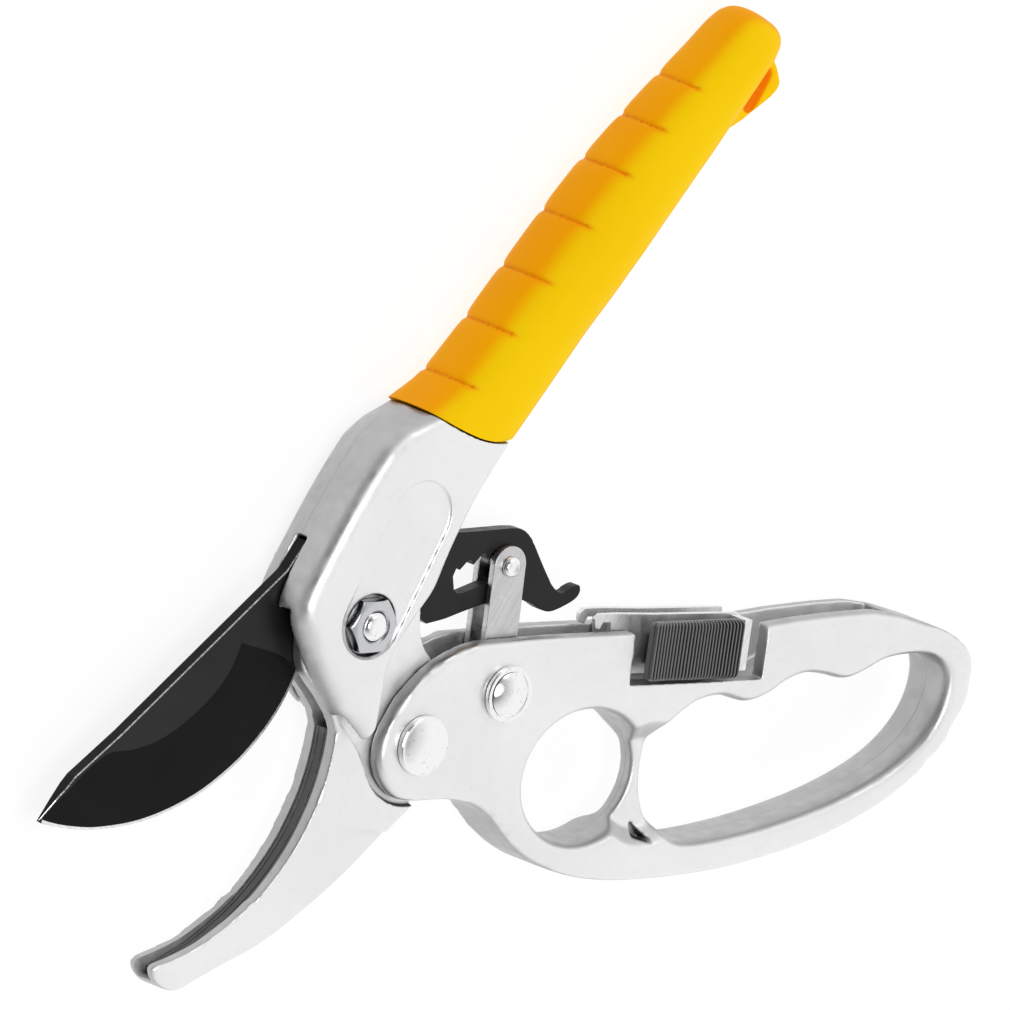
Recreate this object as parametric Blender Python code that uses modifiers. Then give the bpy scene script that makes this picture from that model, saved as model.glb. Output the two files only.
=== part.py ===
"""Anvil pruner with a ratchet link: cast handles, curved blade, grooved anvil jaw.

Lengths are in millimetres until metres() is applied. In the drawing plane the main bolt is at
(0, 0), +X runs towards the grip end and z = 0 is the middle of the tool. FRAME then moves the tool
so that its bounding box stands on the floor, centred on the origin.
"""
import math

import bmesh
import bpy
from mathutils import Vector

# ---- frame and joints -------------------------------------------------------------------------
FRAME = Vector((-30.95, 53.247, 9.0))
MAIN = (0.0, 0.0)                # main bolt: upper handle and jaw
HANDLE = (-12.2, -28.6)          # large rivet: jaw and lower handle
LINK_FOOT = (5.7, -41.2)         # small rivet: lower handle and link arms
LINK_TOP = (26.4, -28.9)         # pin in the toothed slot
RATCHET = (15.0, -4.5)           # ratchet plate in the upper handle
BLADE_PIN = (3.0, 13.8)
LOCK_RIVET = (65.0, 16.2)        # on the lower handle's own axes
BAR_ANGLE = -60.7                # direction of the lower handle's top bar
JAW_CLOSING = 31.5               # angle through which the jaw meets the blade

# ---- half thicknesses and heights ---------------------------------------------------------------
BODY_Z = 9.0
CAVITY_Z = 4.8
SKIRT_Z = 6.7                    # wider mouth of the cavity, for the lower handle's head
RECESS_Z = 8.45
BLADE_Z = 1.4
EDGE_Z = 0.12
JAW_Z = 4.5
TANG_Z = 3.05
FORK_GAP_Z = 1.7
INSERT_Z = 1.85
GROOVE_Z = 2.0
HANDLE_Z = 6.4
WEB_Z = 2.1                      # web between finger hole and loop
CHANNEL_Z = 3.2
ARM_Z = (1.6, 3.0)
RATCHET_Z = 1.3
FLANGE_Z = (1.75, 2.85)
KNOB_Z = (3.15, 6.7, 8.75)       # foot, shoulder and crest of the thumb slide
NUT_Z = (7.1, 10.0)
CLEAR = 12.0                     # height past both faces, for cutters

# ---- round parts ------------------------------------------------------------------------------
BOLT_R = 2.75
BUSH_R = (3.0, 4.2)
NUT_R = 5.75                     # across corners
HEAD_R = 6.2
PIN_R = 1.5
RIVET_R = 2.9
LINK_RIVET_R = 2.5
GAP = 0.15                       # running clearance on a radius or a face
SLOT_LENGTH = 10.9               # travel of the link pin in the toothed slot
TOOTH_PITCH = 3.5
POINT_START = -58.5              # x where the blade starts to thin out towards its tip
POINT_LENGTH = 8.8
GRIP_DIPS = (48.5, 61.3, 73.5, 86.8, 99.6, 110.8, 121.4)

SILVER = ("cast_silver", (0.62, 0.63, 0.64, 1), 0.9, 0.38)
STEEL = ("steel", (0.50, 0.51, 0.52, 1), 1.0, 0.3)
ZINC = ("zinc", (0.66, 0.67, 0.68, 1), 1.0, 0.24)
BLACK = ("black_steel", (0.018, 0.018, 0.02, 1), 0.6, 0.36)
YELLOW = ("yellow_grip", (0.95, 0.42, 0.01, 1), 0.0, 0.5)
NYLON = ("black_plastic", (0.015, 0.015, 0.016, 1), 0.0, 0.5)


# ---- plane geometry ---------------------------------------------------------------------------
def turn(points, degrees, centre=(0.0, 0.0)):
    c, s = math.cos(math.radians(degrees)), math.sin(math.radians(degrees))
    cx, cy = centre
    return [(cx + c * (x - cx) - s * (y - cy), cy + s * (x - cx) + c * (y - cy)) for x, y in points]


def bar(points):
    """From the lower handle's own axes (origin at its large rivet, x along the bar)."""
    moved = [(x + HANDLE[0], y + HANDLE[1]) for x, y in points]
    return turn(moved, BAR_ANGLE, HANDLE)


def arc(centre, radius, start, end, steps):
    angles = [math.radians(start + (end - start) * i / steps) for i in range(steps + 1)]
    return [(centre[0] + radius * math.cos(a), centre[1] + radius * math.sin(a)) for a in angles]


def stadium(a, b, radius, steps=9):
    along = math.degrees(math.atan2(b[1] - a[1], b[0] - a[0]))
    return arc(b, radius, along - 90, along + 90, steps) + arc(a, radius, along + 90, along + 270, steps)


def smooth(points, per_span=2, closed=False):
    """Catmull-Rom curve through the points."""
    last = len(points) - 1
    out = []
    for i in range(last + 1 if closed else last):
        if closed:
            p = [points[(i + k) % (last + 1)] for k in (-1, 0, 1, 2)]
        else:
            p = [points[min(max(i + k, 0), last)] for k in (-1, 0, 1, 2)]
        for j in range(per_span):
            t = j / per_span
            out.append(tuple(
                0.5 * (2 * p[1][k] + (p[2][k] - p[0][k]) * t
                       + (2 * p[0][k] - 5 * p[1][k] + 4 * p[2][k] - p[3][k]) * t * t
                       + (3 * p[1][k] - p[0][k] - 3 * p[2][k] + p[3][k]) * t ** 3)
                for k in (0, 1)))
    return out if closed else out + [points[-1]]


def inset(points, distance, closed=True):
    """Moves an anticlockwise outline inwards by the distance, or an open line to its left."""
    last = len(points) - 1
    out = []
    for i, here in enumerate(points):
        before = points[i - 1] if closed or i > 0 else here
        after = points[(i + 1) % (last + 1)] if closed or i < last else here
        sides = []
        for a, b in ((before, here), (here, after)):
            length = math.hypot(b[0] - a[0], b[1] - a[1])
            if length > 1e-9:
                sides.append(((a[1] - b[1]) / length, (b[0] - a[0]) / length))
        sx, sy = sum(side[0] for side in sides), sum(side[1] for side in sides)
        length = max(math.hypot(sx, sy), 1e-9)
        reach = distance / (length * max(length / len(sides), 0.6))
        out.append((here[0] + sx * reach, here[1] + sy * reach))
    return out


# ---- Blender bodies ---------------------------------------------------------------------------
def metres(point, pivot):
    return Vector((point[0] - pivot[0], point[1] - pivot[1], point[2])) * 0.001


def place(name, data, pivot, finish=None):
    """Links an object with its origin on the pivot; without a finish it is a cutter."""
    obj = bpy.data.objects.new(name, data)
    obj.location = (Vector((pivot[0], pivot[1], 0)) + FRAME) * 0.001
    if finish is None:
        CUTTERS.objects.link(obj)
        obj.hide_render = True
        obj.display_type = "WIRE"
        return obj
    PARTS.objects.link(obj)
    material = bpy.data.materials.new(name + "_" + finish[0])
    material.use_nodes = True
    shader = material.node_tree.nodes["Principled BSDF"]
    shader.inputs["Base Color"].default_value = finish[1]
    shader.inputs["Metallic"].default_value = finish[2]
    shader.inputs["Roughness"].default_value = finish[3]
    data.materials.append(material)
    return obj


def shade(mesh):
    mesh.shade_smooth()
    mesh.set_sharp_from_angle(angle=math.radians(35))


def curve_mesh(name, curve):
    """A curve as a welded mesh with flat faces kept whole."""
    guide = bpy.data.objects.new(name + "_curve", curve)
    CUTTERS.objects.link(guide)
    evaluated = guide.evaluated_get(bpy.context.evaluated_depsgraph_get())
    mesh = bpy.data.meshes.new_from_object(evaluated)
    bpy.data.objects.remove(guide, do_unlink=True)
    mesh.name = name
    bm = bmesh.new()
    bm.from_mesh(mesh)
    bmesh.ops.remove_doubles(bm, verts=bm.verts, dist=1e-6)
    bmesh.ops.dissolve_limit(bm, angle_limit=0.002, verts=bm.verts, edges=bm.edges)
    bmesh.ops.recalc_face_normals(bm, faces=bm.faces)
    bm.to_mesh(mesh)
    bm.free()
    shade(mesh)
    return mesh


def soften(obj, width, segments=1):
    """Bevels the rims of the top and bottom faces."""
    bm = bmesh.new()
    bm.from_mesh(obj.data)
    weight = bm.edges.layers.float.new("bevel_weight_edge")
    for edge in bm.edges:
        slopes = [abs(face.normal.z) for face in edge.link_faces]
        edge[weight] = 1.0 if max(slopes) > 0.95 and min(slopes) < 0.6 else 0.0
    bm.to_mesh(obj.data)
    bm.free()
    rims = obj.modifiers.new("rims", "BEVEL")
    rims.limit_method = "WEIGHT"
    rims.width = width * 0.001
    rims.segments = segments
    rims.use_clamp_overlap = False


def plate(name, outline, low, high, pivot, finish=None, edge=0.0, segments=1):
    """A flat outline given thickness between two heights."""
    curve = bpy.data.curves.new(name, "CURVE")
    curve.dimensions = "2D"
    curve.fill_mode = "BOTH"
    curve.extrude = (high - low) / 2 * 0.001
    spline = curve.splines.new("POLY")
    spline.points.add(len(outline) - 1)
    for point, (x, y) in zip(spline.points, outline):
        point.co = (*metres((x, y, 0), pivot), 1.0)
    spline.use_cyclic_u = True
    mesh = curve_mesh(name, curve)
    for vertex in mesh.vertices:
        vertex.co.z += (high + low) / 2 * 0.001
    obj = place(name, mesh, pivot, finish)
    if edge > 0:
        soften(obj, edge, segments)
    return obj


def turned(name, profile, centre, pivot, finish=None, steps=28, hollow=False):
    """A solid of revolution; the profile of (radius, z) runs from top to bottom."""
    points = list(profile) if hollow else [(0.0, profile[0][1])] + list(profile) + [(0.0, profile[-1][1])]
    mesh = bpy.data.meshes.new(name)
    edges = [(i, i + 1) for i in range(len(points) - 1)]
    if hollow:
        edges.append((len(points) - 1, 0))
    mesh.from_pydata([(r * 0.001, 0.0, z * 0.001) for r, z in points], edges, [])
    obj = place(name, mesh, pivot, finish)
    obj.location += metres((centre[0], centre[1], 0), pivot)
    screw = obj.modifiers.new("turn", "SCREW")
    screw.steps = steps
    screw.render_steps = steps
    screw.use_merge_vertices = True
    screw.merge_threshold = 1e-6
    screw.use_smooth_shade = False
    return obj


def hole(name, radius, centre, pivot, low=-CLEAR, high=CLEAR, steps=24):
    return turned(name, [(radius, high), (radius, low)], centre, pivot, steps=steps)


def ring(name, inner, outer, low, high, centre, pivot, finish, steps=28):
    profile = [(inner, high), (outer, high), (outer, low), (inner, low)]
    return turned(name, profile, centre, pivot, finish, steps, hollow=True)


def wire(name, path, radius, pivot, finish):
    """A round wire along a path of (x, y, z) points."""
    curve = bpy.data.curves.new(name, "CURVE")
    curve.dimensions = "3D"
    curve.bevel_depth = radius * 0.001
    curve.bevel_resolution = 1
    curve.use_fill_caps = True
    spline = curve.splines.new("POLY")
    spline.points.add(len(path) - 1)
    for point, position in zip(spline.points, path):
        point.co = (*metres(position, pivot), 1.0)
    return place(name, curve_mesh(name, curve), pivot, finish)


def loft(name, sections, pivot, finish=None):
    """A closed body through sections of equal length, each a list of (x, y, z) points."""
    bm = bmesh.new()
    rings = [[bm.verts.new(metres(point, pivot)) for point in section] for section in sections]
    for a, b in zip(rings, rings[1:]):
        for i in range(len(a)):
            j = (i + 1) % len(a)
            bm.faces.new((a[i], a[j], b[j], b[i]))
    bm.faces.new(rings[0])
    bm.faces.new(rings[-1])
    bmesh.ops.recalc_face_normals(bm, faces=bm.faces)
    mesh = bpy.data.meshes.new(name)
    bm.to_mesh(mesh)
    bm.free()
    shade(mesh)
    return place(name, mesh, pivot, finish)


def level(outline, z):
    return [(x, y, z) for x, y in outline]


def combine(obj, other, operation):
    modifier = obj.modifiers.new(other.name, "BOOLEAN")
    modifier.operation = operation
    modifier.solver = "EXACT"
    modifier.object = other


def cut(obj, *cutters):
    for cutter in cutters:
        combine(obj, cutter, "DIFFERENCE")


def join(obj, *others):
    for other in others:
        combine(obj, other, "UNION")


def both_faces(name, outline, low, high, pivot):
    """Two equal cutters, one on each face of the tool."""
    return (plate(name + "_front", outline, low, high, pivot),
            plate(name + "_back", outline, -high, -low, pivot))


# ---- shared curves ----------------------------------------------------------------------------
def cutting_edge():
    return [(-13.0, 3.2), (-17.0, 2.5), (-22.0, 2.2), (-27.5, 2.7), (-33.8, 4.2), (-39.0, 6.3),
            (-43.6, 8.7), (-47.8, 11.6), (-51.6, 14.8), (-54.7, 17.9), (-57.2, 20.9), (-60.0, 24.9),
            (-62.6, 29.2), (-65.4, 35.4), (-67.1, 40.6)]


def ground_root():
    """Inner border of the ground bevel, from the heel up to its corner."""
    return [(-13.4, 4.0), (-14.0, 11.0), (-16.4, 20.2)]


def ground_back():
    """The border's other side, from the corner along the blade to its tip."""
    return [(-16.4, 20.2), (-21.5, 19.3), (-27.0, 19.8), (-33.0, 21.8), (-38.2, 24.4), (-42.3, 27.5),
            (-45.6, 31.2), (-48.4, 35.4), (-51.5, 37.4), (-55.5, 39.0), (-58.8, 39.9), (-62.0, 40.6),
            (-65.6, 41.3)]


def anvil_line(gap):
    """The cutting edge as it lies on the jaw when shut, moved into the jaw by the gap."""
    shut = turn(smooth(cutting_edge()[1:]), JAW_CLOSING)
    return inset(shut, gap, closed=False)


def rim_line():
    """Where casting and grip meet, from the top side to the bottom side."""
    return [(39.6, 18.0), (39.9, 12.0), (40.2, 7.0), (40.7, 3.0), (41.4, -0.8), (42.6, -4.4),
            (44.4, -7.8), (46.6, -11.0), (48.5, -14.0)]


# ---- upper handle -----------------------------------------------------------------------------
def body_outline():
    top = [(29.6, 19.5), (22.0, 19.95), (14.0, 19.95), (6.0, 19.6), (-1.5, 19.1)]
    mouth = [(-5.4, 18.0), (-8.6, 15.4), (-11.6, 10.2), (-14.2, 4.0), (-16.3, -1.8), (-18.2, -7.2),
             (-19.5, -11.4), (-20.3, -14.0)]
    nose = [(-19.6, -16.1), (-16.6, -15.7), (-11.8, -13.2)]
    bottom = [(-6.0, -10.6), (0.0, -9.7), (5.0, -9.9), (12.5, -10.8), (18.3, -9.9), (24.2, -9.1),
              (34.0, -8.5), (52.0, -9.6)]
    shoulder = [(52.0, 8.2), (46.0, 9.4), (42.0, 11.2), (38.8, 13.8), (34.6, 17.3)]
    return smooth(top) + smooth(mouth) + nose + smooth(bottom) + shoulder


def body_levels():
    """Outlines from back to front: drafted both ways, the edges of top side and mouth rounded."""
    rounding = ((-1.0, 1.6, 5.0, 2.2), (-0.92, 1.25, 3.5, 1.5), (-0.79, 1.0, 2.0, 0.8), (-0.6, 0.8, 0.7, 0.2),
                (-0.3, 0.4, 0.0, 0.0), (0.0, 0.0, 0.0, 0.0), (0.55, 0.7, 0.0, 0.1), (0.72, 0.9, 0.0, 0.5),
                (0.87, 1.1, 0.5, 1.1), (0.94, 1.25, 1.0, 1.7), (1.0, 1.6, 2.0, 2.2))
    levels = []
    for share, draft, drop, pull in rounding:
        outline = []
        for x, y in inset(body_outline(), draft):
            near_top = min(max((y - 6.0) / 10.0, 0.0), 1.0)
            near_mouth = min(max((-3.0 - x) / 6.0, 0.0), 1.0)
            outline.append((x + pull * near_mouth, y - drop * near_top, share * BODY_Z))
        levels.append(outline)
    return levels


def core_stations():
    """Tongue of the casting inside the grip: (x, middle, half width, half thickness)."""
    return [(36.0, 3.0, 8.0, 5.6), (50.0, -1.5, 7.6, 5.6), (70.0, -5.0, 7.2, 5.2),
            (95.0, -8.7, 6.6, 4.8), (122.0, -14.0, 5.0, 4.0)]


def beam(name, stations, grow, pivot, corner=2.0):
    """An eight-sided bar along x through the stations."""
    sections = []
    for x, middle, half, thick in stations:
        h, t = half + grow, thick + grow
        ring_points = [(h, corner - t), (h, t - corner), (h - corner, t), (corner - h, t),
                       (-h, t - corner), (-h, corner - t), (corner - h, -t), (h - corner, -t)]
        sections.append([(x, middle + y, z) for y, z in ring_points])
    return loft(name, sections, pivot)


def make_upper_casting():
    body = loft("upper_casting", body_levels(), MAIN, SILVER)
    beyond = rim_line() + [(70.0, -14.0), (70.0, 18.0)]
    cavity = [(-34.0, -34.0), (31.0, -34.0), (31.0, -6.0), (24.0, 3.0), (15.0, 9.0), (9.0, 14.2),
              (-2.0, 14.2), (-5.0, 15.6), (-12.0, 22.0), (-34.0, 24.0)]
    skirt = [(-34.0, -34.0), (10.0, -34.0), (10.0, -8.4), (-1.0, -7.4), (-8.0, -6.2), (-34.0, -6.2)]
    blade_slot = [(-34.0, 5.0), (7.6, 5.0), (7.6, 24.0), (-34.0, 34.0)]
    cut(body, plate("beyond_rim", beyond, -CLEAR, CLEAR, MAIN))
    join(body, beam("core", core_stations(), 0.0, MAIN))
    cut(body,
        plate("cavity", cavity, -CAVITY_Z, CAVITY_Z, MAIN),
        plate("skirt", skirt, -SKIRT_Z, SKIRT_Z, MAIN),
        plate("blade_slot", blade_slot, -BLADE_Z - GAP, BLADE_Z + GAP, MAIN),
        plate("nut_recess", stadium((0.5, 0.5), (22.4, 2.7), 7.35), RECESS_Z, CLEAR, MAIN),
        hole("bolt_hole", BOLT_R + 0.25, MAIN, MAIN),
        hole("nut_seat", NUT_R + 0.4, MAIN, MAIN, low=NUT_Z[0] - GAP),
        hole("head_seat", HEAD_R + 0.4, MAIN, MAIN, high=-SKIRT_Z + 0.5),
        hole("ratchet_pin_hole", PIN_R + GAP, RATCHET, MAIN, high=SKIRT_Z + 0.2, steps=16),
        hole("blade_pin_hole", PIN_R + GAP, BLADE_PIN, MAIN, high=SKIRT_Z + 0.2, steps=16))


def grip_stations():
    """(x, middle, half width, half thickness, squareness)"""
    return [(36.0, 3.2, 12.2, 8.9, 3.4), (41.0, 1.4, 11.4, 8.9, 3.2), (46.0, -0.6, 10.9, 8.9, 2.9),
            (52.0, -1.8, 10.6, 8.9, 2.7), (60.0, -3.0, 10.5, 8.8, 2.6), (70.0, -4.2, 10.5, 8.8, 2.5),
            (80.0, -5.7, 10.6, 8.8, 2.5), (90.0, -7.1, 10.6, 8.7, 2.5), (98.0, -8.3, 10.3, 8.6, 2.5),
            (106.0, -9.8, 9.8, 8.3, 2.5), (114.0, -11.4, 9.3, 7.9, 2.5), (122.0, -13.0, 8.6, 7.5, 2.5),
            (130.0, -14.7, 7.9, 7.0, 2.5), (135.5, -15.7, 7.4, 6.6, 2.6), (138.6, -16.2, 6.7, 6.0, 2.6),
            (140.4, -16.5, 5.5, 4.9, 2.5), (141.2, -16.7, 3.9, 3.4, 2.3)]


def grip_section(x, steps=30):
    stations = grip_stations()
    after = next(i for i, s in enumerate(stations) if i > 0 and (x <= s[0] or s is stations[-1]))
    a, b = stations[after - 1], stations[after]
    t = (x - a[0]) / (b[0] - a[0])
    middle, half, thick, power = (a[k] + (b[k] - a[k]) * t for k in (1, 2, 3, 4))
    section = []
    for k in range(steps):
        angle = 2 * math.pi * k / steps
        c, s = math.cos(angle), math.sin(angle)
        side = max(0.0, c + 0.25) / 1.25
        lean = 1.5 * (1 - c)
        dip = side * sum(math.exp(-((x - lean - d) / 1.5) ** 2) for d in GRIP_DIPS)
        y = math.copysign(abs(c) ** (2 / power), c) * half * (1 - 0.075 * dip)
        z = math.copysign(abs(s) ** (2 / power), s) * thick * (1 - 0.05 * dip)
        section.append((x, middle + y, z))
    return section


def make_grip():
    body_steps = 46
    xs = [36.0, 39.0] + [41.0 + 88.5 * i / body_steps for i in range(body_steps + 1)]
    xs += [132.5, 135.5, 138.6, 140.4, 141.2]
    grip = loft("grip_sleeve", [grip_section(x) for x in xs], MAIN, YELLOW)
    before = [(20.0, 18.0), (20.0, -14.0)] + [(x + 0.3, y) for x, y in reversed(rim_line())]
    tab = smooth([(116.6, -20.2), (119.6, -22.4), (122.5, -24.3), (126.5, -26.4), (129.8, -28.0),
                  (131.8, -28.7), (133.3, -28.4), (134.4, -27.1), (136.0, -24.6), (137.2, -21.8)])
    tab += [(136.0, -19.0), (118.0, -18.6)]
    room = [(30.0, 5.0, 8.0, 5.6)] + core_stations() + [(122.3, -14.1, 5.0, 4.0)]
    join(grip, plate("hang_tab", tab, -2.3, 2.3, MAIN, edge=0.5))
    cut(grip, plate("before_rim", before, -CLEAR, CLEAR, MAIN), beam("core_room", room, 0.3, MAIN))
    cut(grip, plate("hang_slit", stadium((126.2, -24.2), (132.8, -23.9), 1.5), -CLEAR, CLEAR, MAIN))


def slim_point(blade):
    """The blade's last stretch thins out evenly towards its tip."""
    bm = bmesh.new()
    bm.from_mesh(blade.data)
    bmesh.ops.bisect_plane(bm, geom=bm.verts[:] + bm.edges[:] + bm.faces[:], dist=1e-6,
                           plane_co=metres((POINT_START, 0, 0), MAIN), plane_no=(1, 0, 0))
    for vertex in bm.verts:
        beyond = max(POINT_START - vertex.co.x * 1000, 0.0)
        vertex.co.z *= 1.0 - 0.9 * beyond / POINT_LENGTH
    bm.to_mesh(blade.data)
    bm.free()
    shade(blade.data)


def make_blade():
    ground = ground_root()[:-1] + ground_back()
    spine = [(-67.2, 41.9), (-62.0, 41.2), (-56.2, 40.2), (-44.1, 35.2), (0.0, 19.25), (6.9, 18.7), (7.3, 14.0),
             (7.6, 6.0)]
    rest = spine + arc(MAIN, 7.9, 0, -150, 12) + [(-10.4, 1.6)]
    thick, thin = ground + rest, cutting_edge() + rest
    blade = loft("cutting_blade", [level(thick, -BLADE_Z), level(thin, -EDGE_Z), level(thin, EDGE_Z),
                                   level(thick, BLADE_Z)], MAIN, BLACK)
    slim_point(blade)
    cut(blade, hole("blade_bush_hole", BUSH_R[1] + 0.2, MAIN, MAIN),
        hole("blade_pin_room", PIN_R + GAP, BLADE_PIN, MAIN, steps=16))


def make_main_bolt():
    seat = -SKIRT_Z + 0.5
    profile = [(2.2, 10.6), (BOLT_R, 10.2), (BOLT_R, seat - GAP), (HEAD_R, seat - GAP), (HEAD_R, -8.3),
               (5.2, -8.9)]
    bolt = turned("pivot_bolt", profile, MAIN, MAIN, STEEL)
    groove = [(-7.0, -0.6), (7.0, -0.6), (7.0, 0.6), (-7.0, 0.6)]
    cut(bolt, plate("driver_slot", groove, -CLEAR, -7.7, MAIN))
    ring("pivot_bush", *BUSH_R, -CAVITY_Z + GAP, CAVITY_Z - GAP, MAIN, MAIN, STEEL)
    nut = plate("pivot_nut", arc(MAIN, NUT_R, -58.5, 241.5, 5), *NUT_Z, MAIN, ZINC, edge=0.45)
    cut(nut, hole("nut_bore", BOLT_R + 0.25, MAIN, MAIN))
    for name, centre in (("blade_pin", BLADE_PIN), ("ratchet_pin", RATCHET)):
        turned(name, [(PIN_R, SKIRT_Z - 0.1), (PIN_R, -8.4), (PIN_R - 0.3, -8.7)], centre, MAIN, STEEL, steps=16)


# ---- ratchet plate ----------------------------------------------------------------------------
def slot_outline():
    """Toothed slot; s runs from the pin's rest position into the plate, n towards the teeth."""
    end, floor, tooth, notch = SLOT_LENGTH, -2.15, 2.6, 4.0
    local = [(end + 1.9, -0.8), (end + 1.2, -1.7), (end, floor), (0.0, floor), (-1.4, -1.6), (-2.1, 0.0),
             (-1.6, 1.6), (-0.6, tooth)]
    for k in range(3):
        s = 0.5 + TOOTH_PITCH * k
        local += [(s, tooth), (s + 0.5, notch), (s + 1.4, notch)]
    local += [(end, 2.7), (end + 0.7, 3.4), (end + 1.8, 2.0)]
    ux, uy = -0.730, 0.683
    return [(LINK_TOP[0] + ux * s + uy * n, LINK_TOP[1] + uy * s - ux * n) for s, n in local]


def make_ratchet_plate():
    toe = [(9.0, -8.0), (8.2, -13.0), (8.1, -19.0)]
    tail = [(10.4, -21.8), (16.1, -27.4), (20.0, -32.0), (22.6, -36.5), (23.5, -40.0), (23.7, -43.2),
            (24.9, -45.9), (28.8, -49.1), (30.9, -49.6), (32.0, -48.6), (31.0, -47.3), (28.9, -45.9),
            (28.6, -43.5), (29.6, -40.3), (32.0, -35.1), (33.4, -32.2), (34.0, -29.9), (33.5, -27.1),
            (30.2, -21.5), (26.3, -15.0), (23.0, -8.5)]
    outline = arc(RATCHET, 5.2, 20, 185, 10) + smooth(toe) + smooth(tail)
    body = plate("ratchet_plate", outline, -RATCHET_Z, RATCHET_Z, RATCHET, BLACK, edge=0.2)
    cut(body, plate("toothed_slot", slot_outline(), -CLEAR, CLEAR, RATCHET),
        hole("ratchet_plate_hole", PIN_R + 0.2, RATCHET, RATCHET, steps=16))


def coil(centre, radius, low, high, turns, first, steps=12):
    total = int(turns * steps)
    points = arc(centre, radius, first, first + 360 * turns, total)
    return [(x, y, low + (high - low) * i / total) for i, (x, y) in enumerate(points)]


def make_ratchet_spring():
    body = coil(RATCHET, 2.5, 2.2, 4.2, 2.75, 90)
    path = [(23.0, -2.2, 2.2)] + body + [(RATCHET[0] + 2.6, -10.5, 4.2)]
    wire("ratchet_spring", path, 0.3, MAIN, STEEL)


# ---- anvil jaw --------------------------------------------------------------------------------
def jaw_outline():
    crown = arc(MAIN, 10.6, -15, 118, 10) + smooth([(-9.0, 10.0), (-13.2, 6.6), (-14.9, 3.0), (-16.3, -2.2),
                                                    (-17.9, -6.8)])
    rails = anvil_line(0.0)[2:17] + smooth([(-60.2, -11.4), (-64.5, -9.2), (-68.8, -6.7), (-73.0, -3.3),
                                           (-76.6, 0.1)])
    tip = smooth([(-77.5, 0.5), (-78.7, -0.9), (-79.3, -3.4), (-79.0, -5.9), (-77.8, -8.0), (-75.6, -9.8)], 1)
    back = smooth([(-72.8, -11.9), (-69.0, -14.7), (-60.7, -21.0), (-50.8, -26.0), (-40.3, -30.4),
                   (-28.2, -34.2), (-21.8, -36.6)])
    tang = arc(HANDLE, 9.0, 234, 340, 7) + smooth([(-1.6, -27.4), (2.4, -23.8), (3.9, -19.8), (6.3, -16.6),
                                                   (9.6, -13.9), (11.1, -10.8), (10.7, -6.5)])
    return crown + rails + tip + back + tang


def make_jaw():
    jaw = plate("anvil_jaw", jaw_outline(), -JAW_Z, JAW_Z, MAIN, SILVER, edge=0.6, segments=2)
    thin = (arc(HANDLE, 12.6, 262, 152, 10)
            + [(-21.4, -19.6), (-20.3, -17.4), (-18.9, -13.3), (-17.6, -9.4), (-9.0, -9.4), (-3.0, -9.7),
               (3.0, -9.2), (14.0, -7.6), (20.0, -8.0), (20.0, -46.0), (-14.0, -46.0)])
    relief = smooth([(-26.0, -40.0), (-29.6, -33.2), (-32.2, -27.4), (-34.6, -24.5), (-43.6, -23.1),
                     (-52.3, -20.4), (-62.8, -16.3), (-67.8, -13.3), (-72.2, -10.7), (-77.0, -8.6)])
    relief += [(-84.0, -12.0), (-60.0, -40.0)]
    fork = ([(-40.0, 24.0), (-40.0, -4.0), (-24.0, -6.0), (-20.6, -11.2), (-16.4, -9.8), (-12.6, -7.2)]
            + arc(MAIN, 8.9, 222, 292, 5) + [(6.4, -12.0), (6.0, -26.0), (22.0, -26.0), (22.0, 24.0)])
    groove = anvil_line(-2.5)[1:] + [(-84.0, 5.0), (-84.0, 0.0)] + list(reversed(anvil_line(3.1)[1:]))
    cut(jaw, *both_faces("tang_step", thin, TANG_Z, CLEAR, MAIN))
    cut(jaw, *both_faces("jaw_relief", relief, JAW_Z - 0.9, CLEAR, MAIN))
    cut(jaw,
        plate("fork_gap", fork, -FORK_GAP_Z, FORK_GAP_Z, MAIN),
        plate("insert_groove", groove, -GROOVE_Z, GROOVE_Z, MAIN),
        hole("jaw_bush_hole", BUSH_R[1] + 0.2, MAIN, MAIN),
        hole("jaw_rivet_hole", RIVET_R + 0.25, HANDLE, MAIN))


def make_insert():
    strip = anvil_line(0.3)[2:-1] + list(reversed(anvil_line(2.9)[2:-2]))
    plate("anvil_insert", strip, -INSERT_Z, INSERT_Z, MAIN, NYLON, edge=0.15)


# ---- lower handle -----------------------------------------------------------------------------
def handle_outline():
    head = [(12.1, 19.4), (7.3, 18.2), (2.6, 16.2), (-0.8, 14.0), (-4.0, 11.0), (-6.6, 7.9), (-8.5, 4.4),
            (-9.7, 1.3), (-10.0, -1.5), (-9.6, -4.2), (-8.3, -6.8), (-6.1, -9.2), (-3.8, -10.7),
            (-1.2, -11.3)]
    belly = [(2.6, -11.3), (7.7, -11.2), (11.6, -11.6), (15.5, -12.6), (18.9, -14.2), (21.8, -16.4),
             (24.8, -19.2), (29.0, -22.4), (34.7, -25.3), (42.7, -27.6), (49.2, -28.6), (56.0, -29.0),
             (68.2, -28.7), (80.6, -27.6), (92.7, -25.5), (104.5, -22.6), (114.5, -18.8), (121.4, -15.4),
             (127.0, -11.7), (131.3, -8.0), (135.3, -3.3), (137.3, 0.0), (138.8, 4.3), (139.7, 8.6),
             (139.2, 12.2), (137.0, 14.8), (134.3, 16.6), (131.2, 17.9), (127.0, 19.3)]
    top = [(119.0, 21.4), (112.0, 22.4), (104.0, 22.2), (92.6, 21.5), (84.0, 20.6), (60.0, 20.1),
           (30.0, 20.0)]
    return smooth(head + belly) + top


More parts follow.
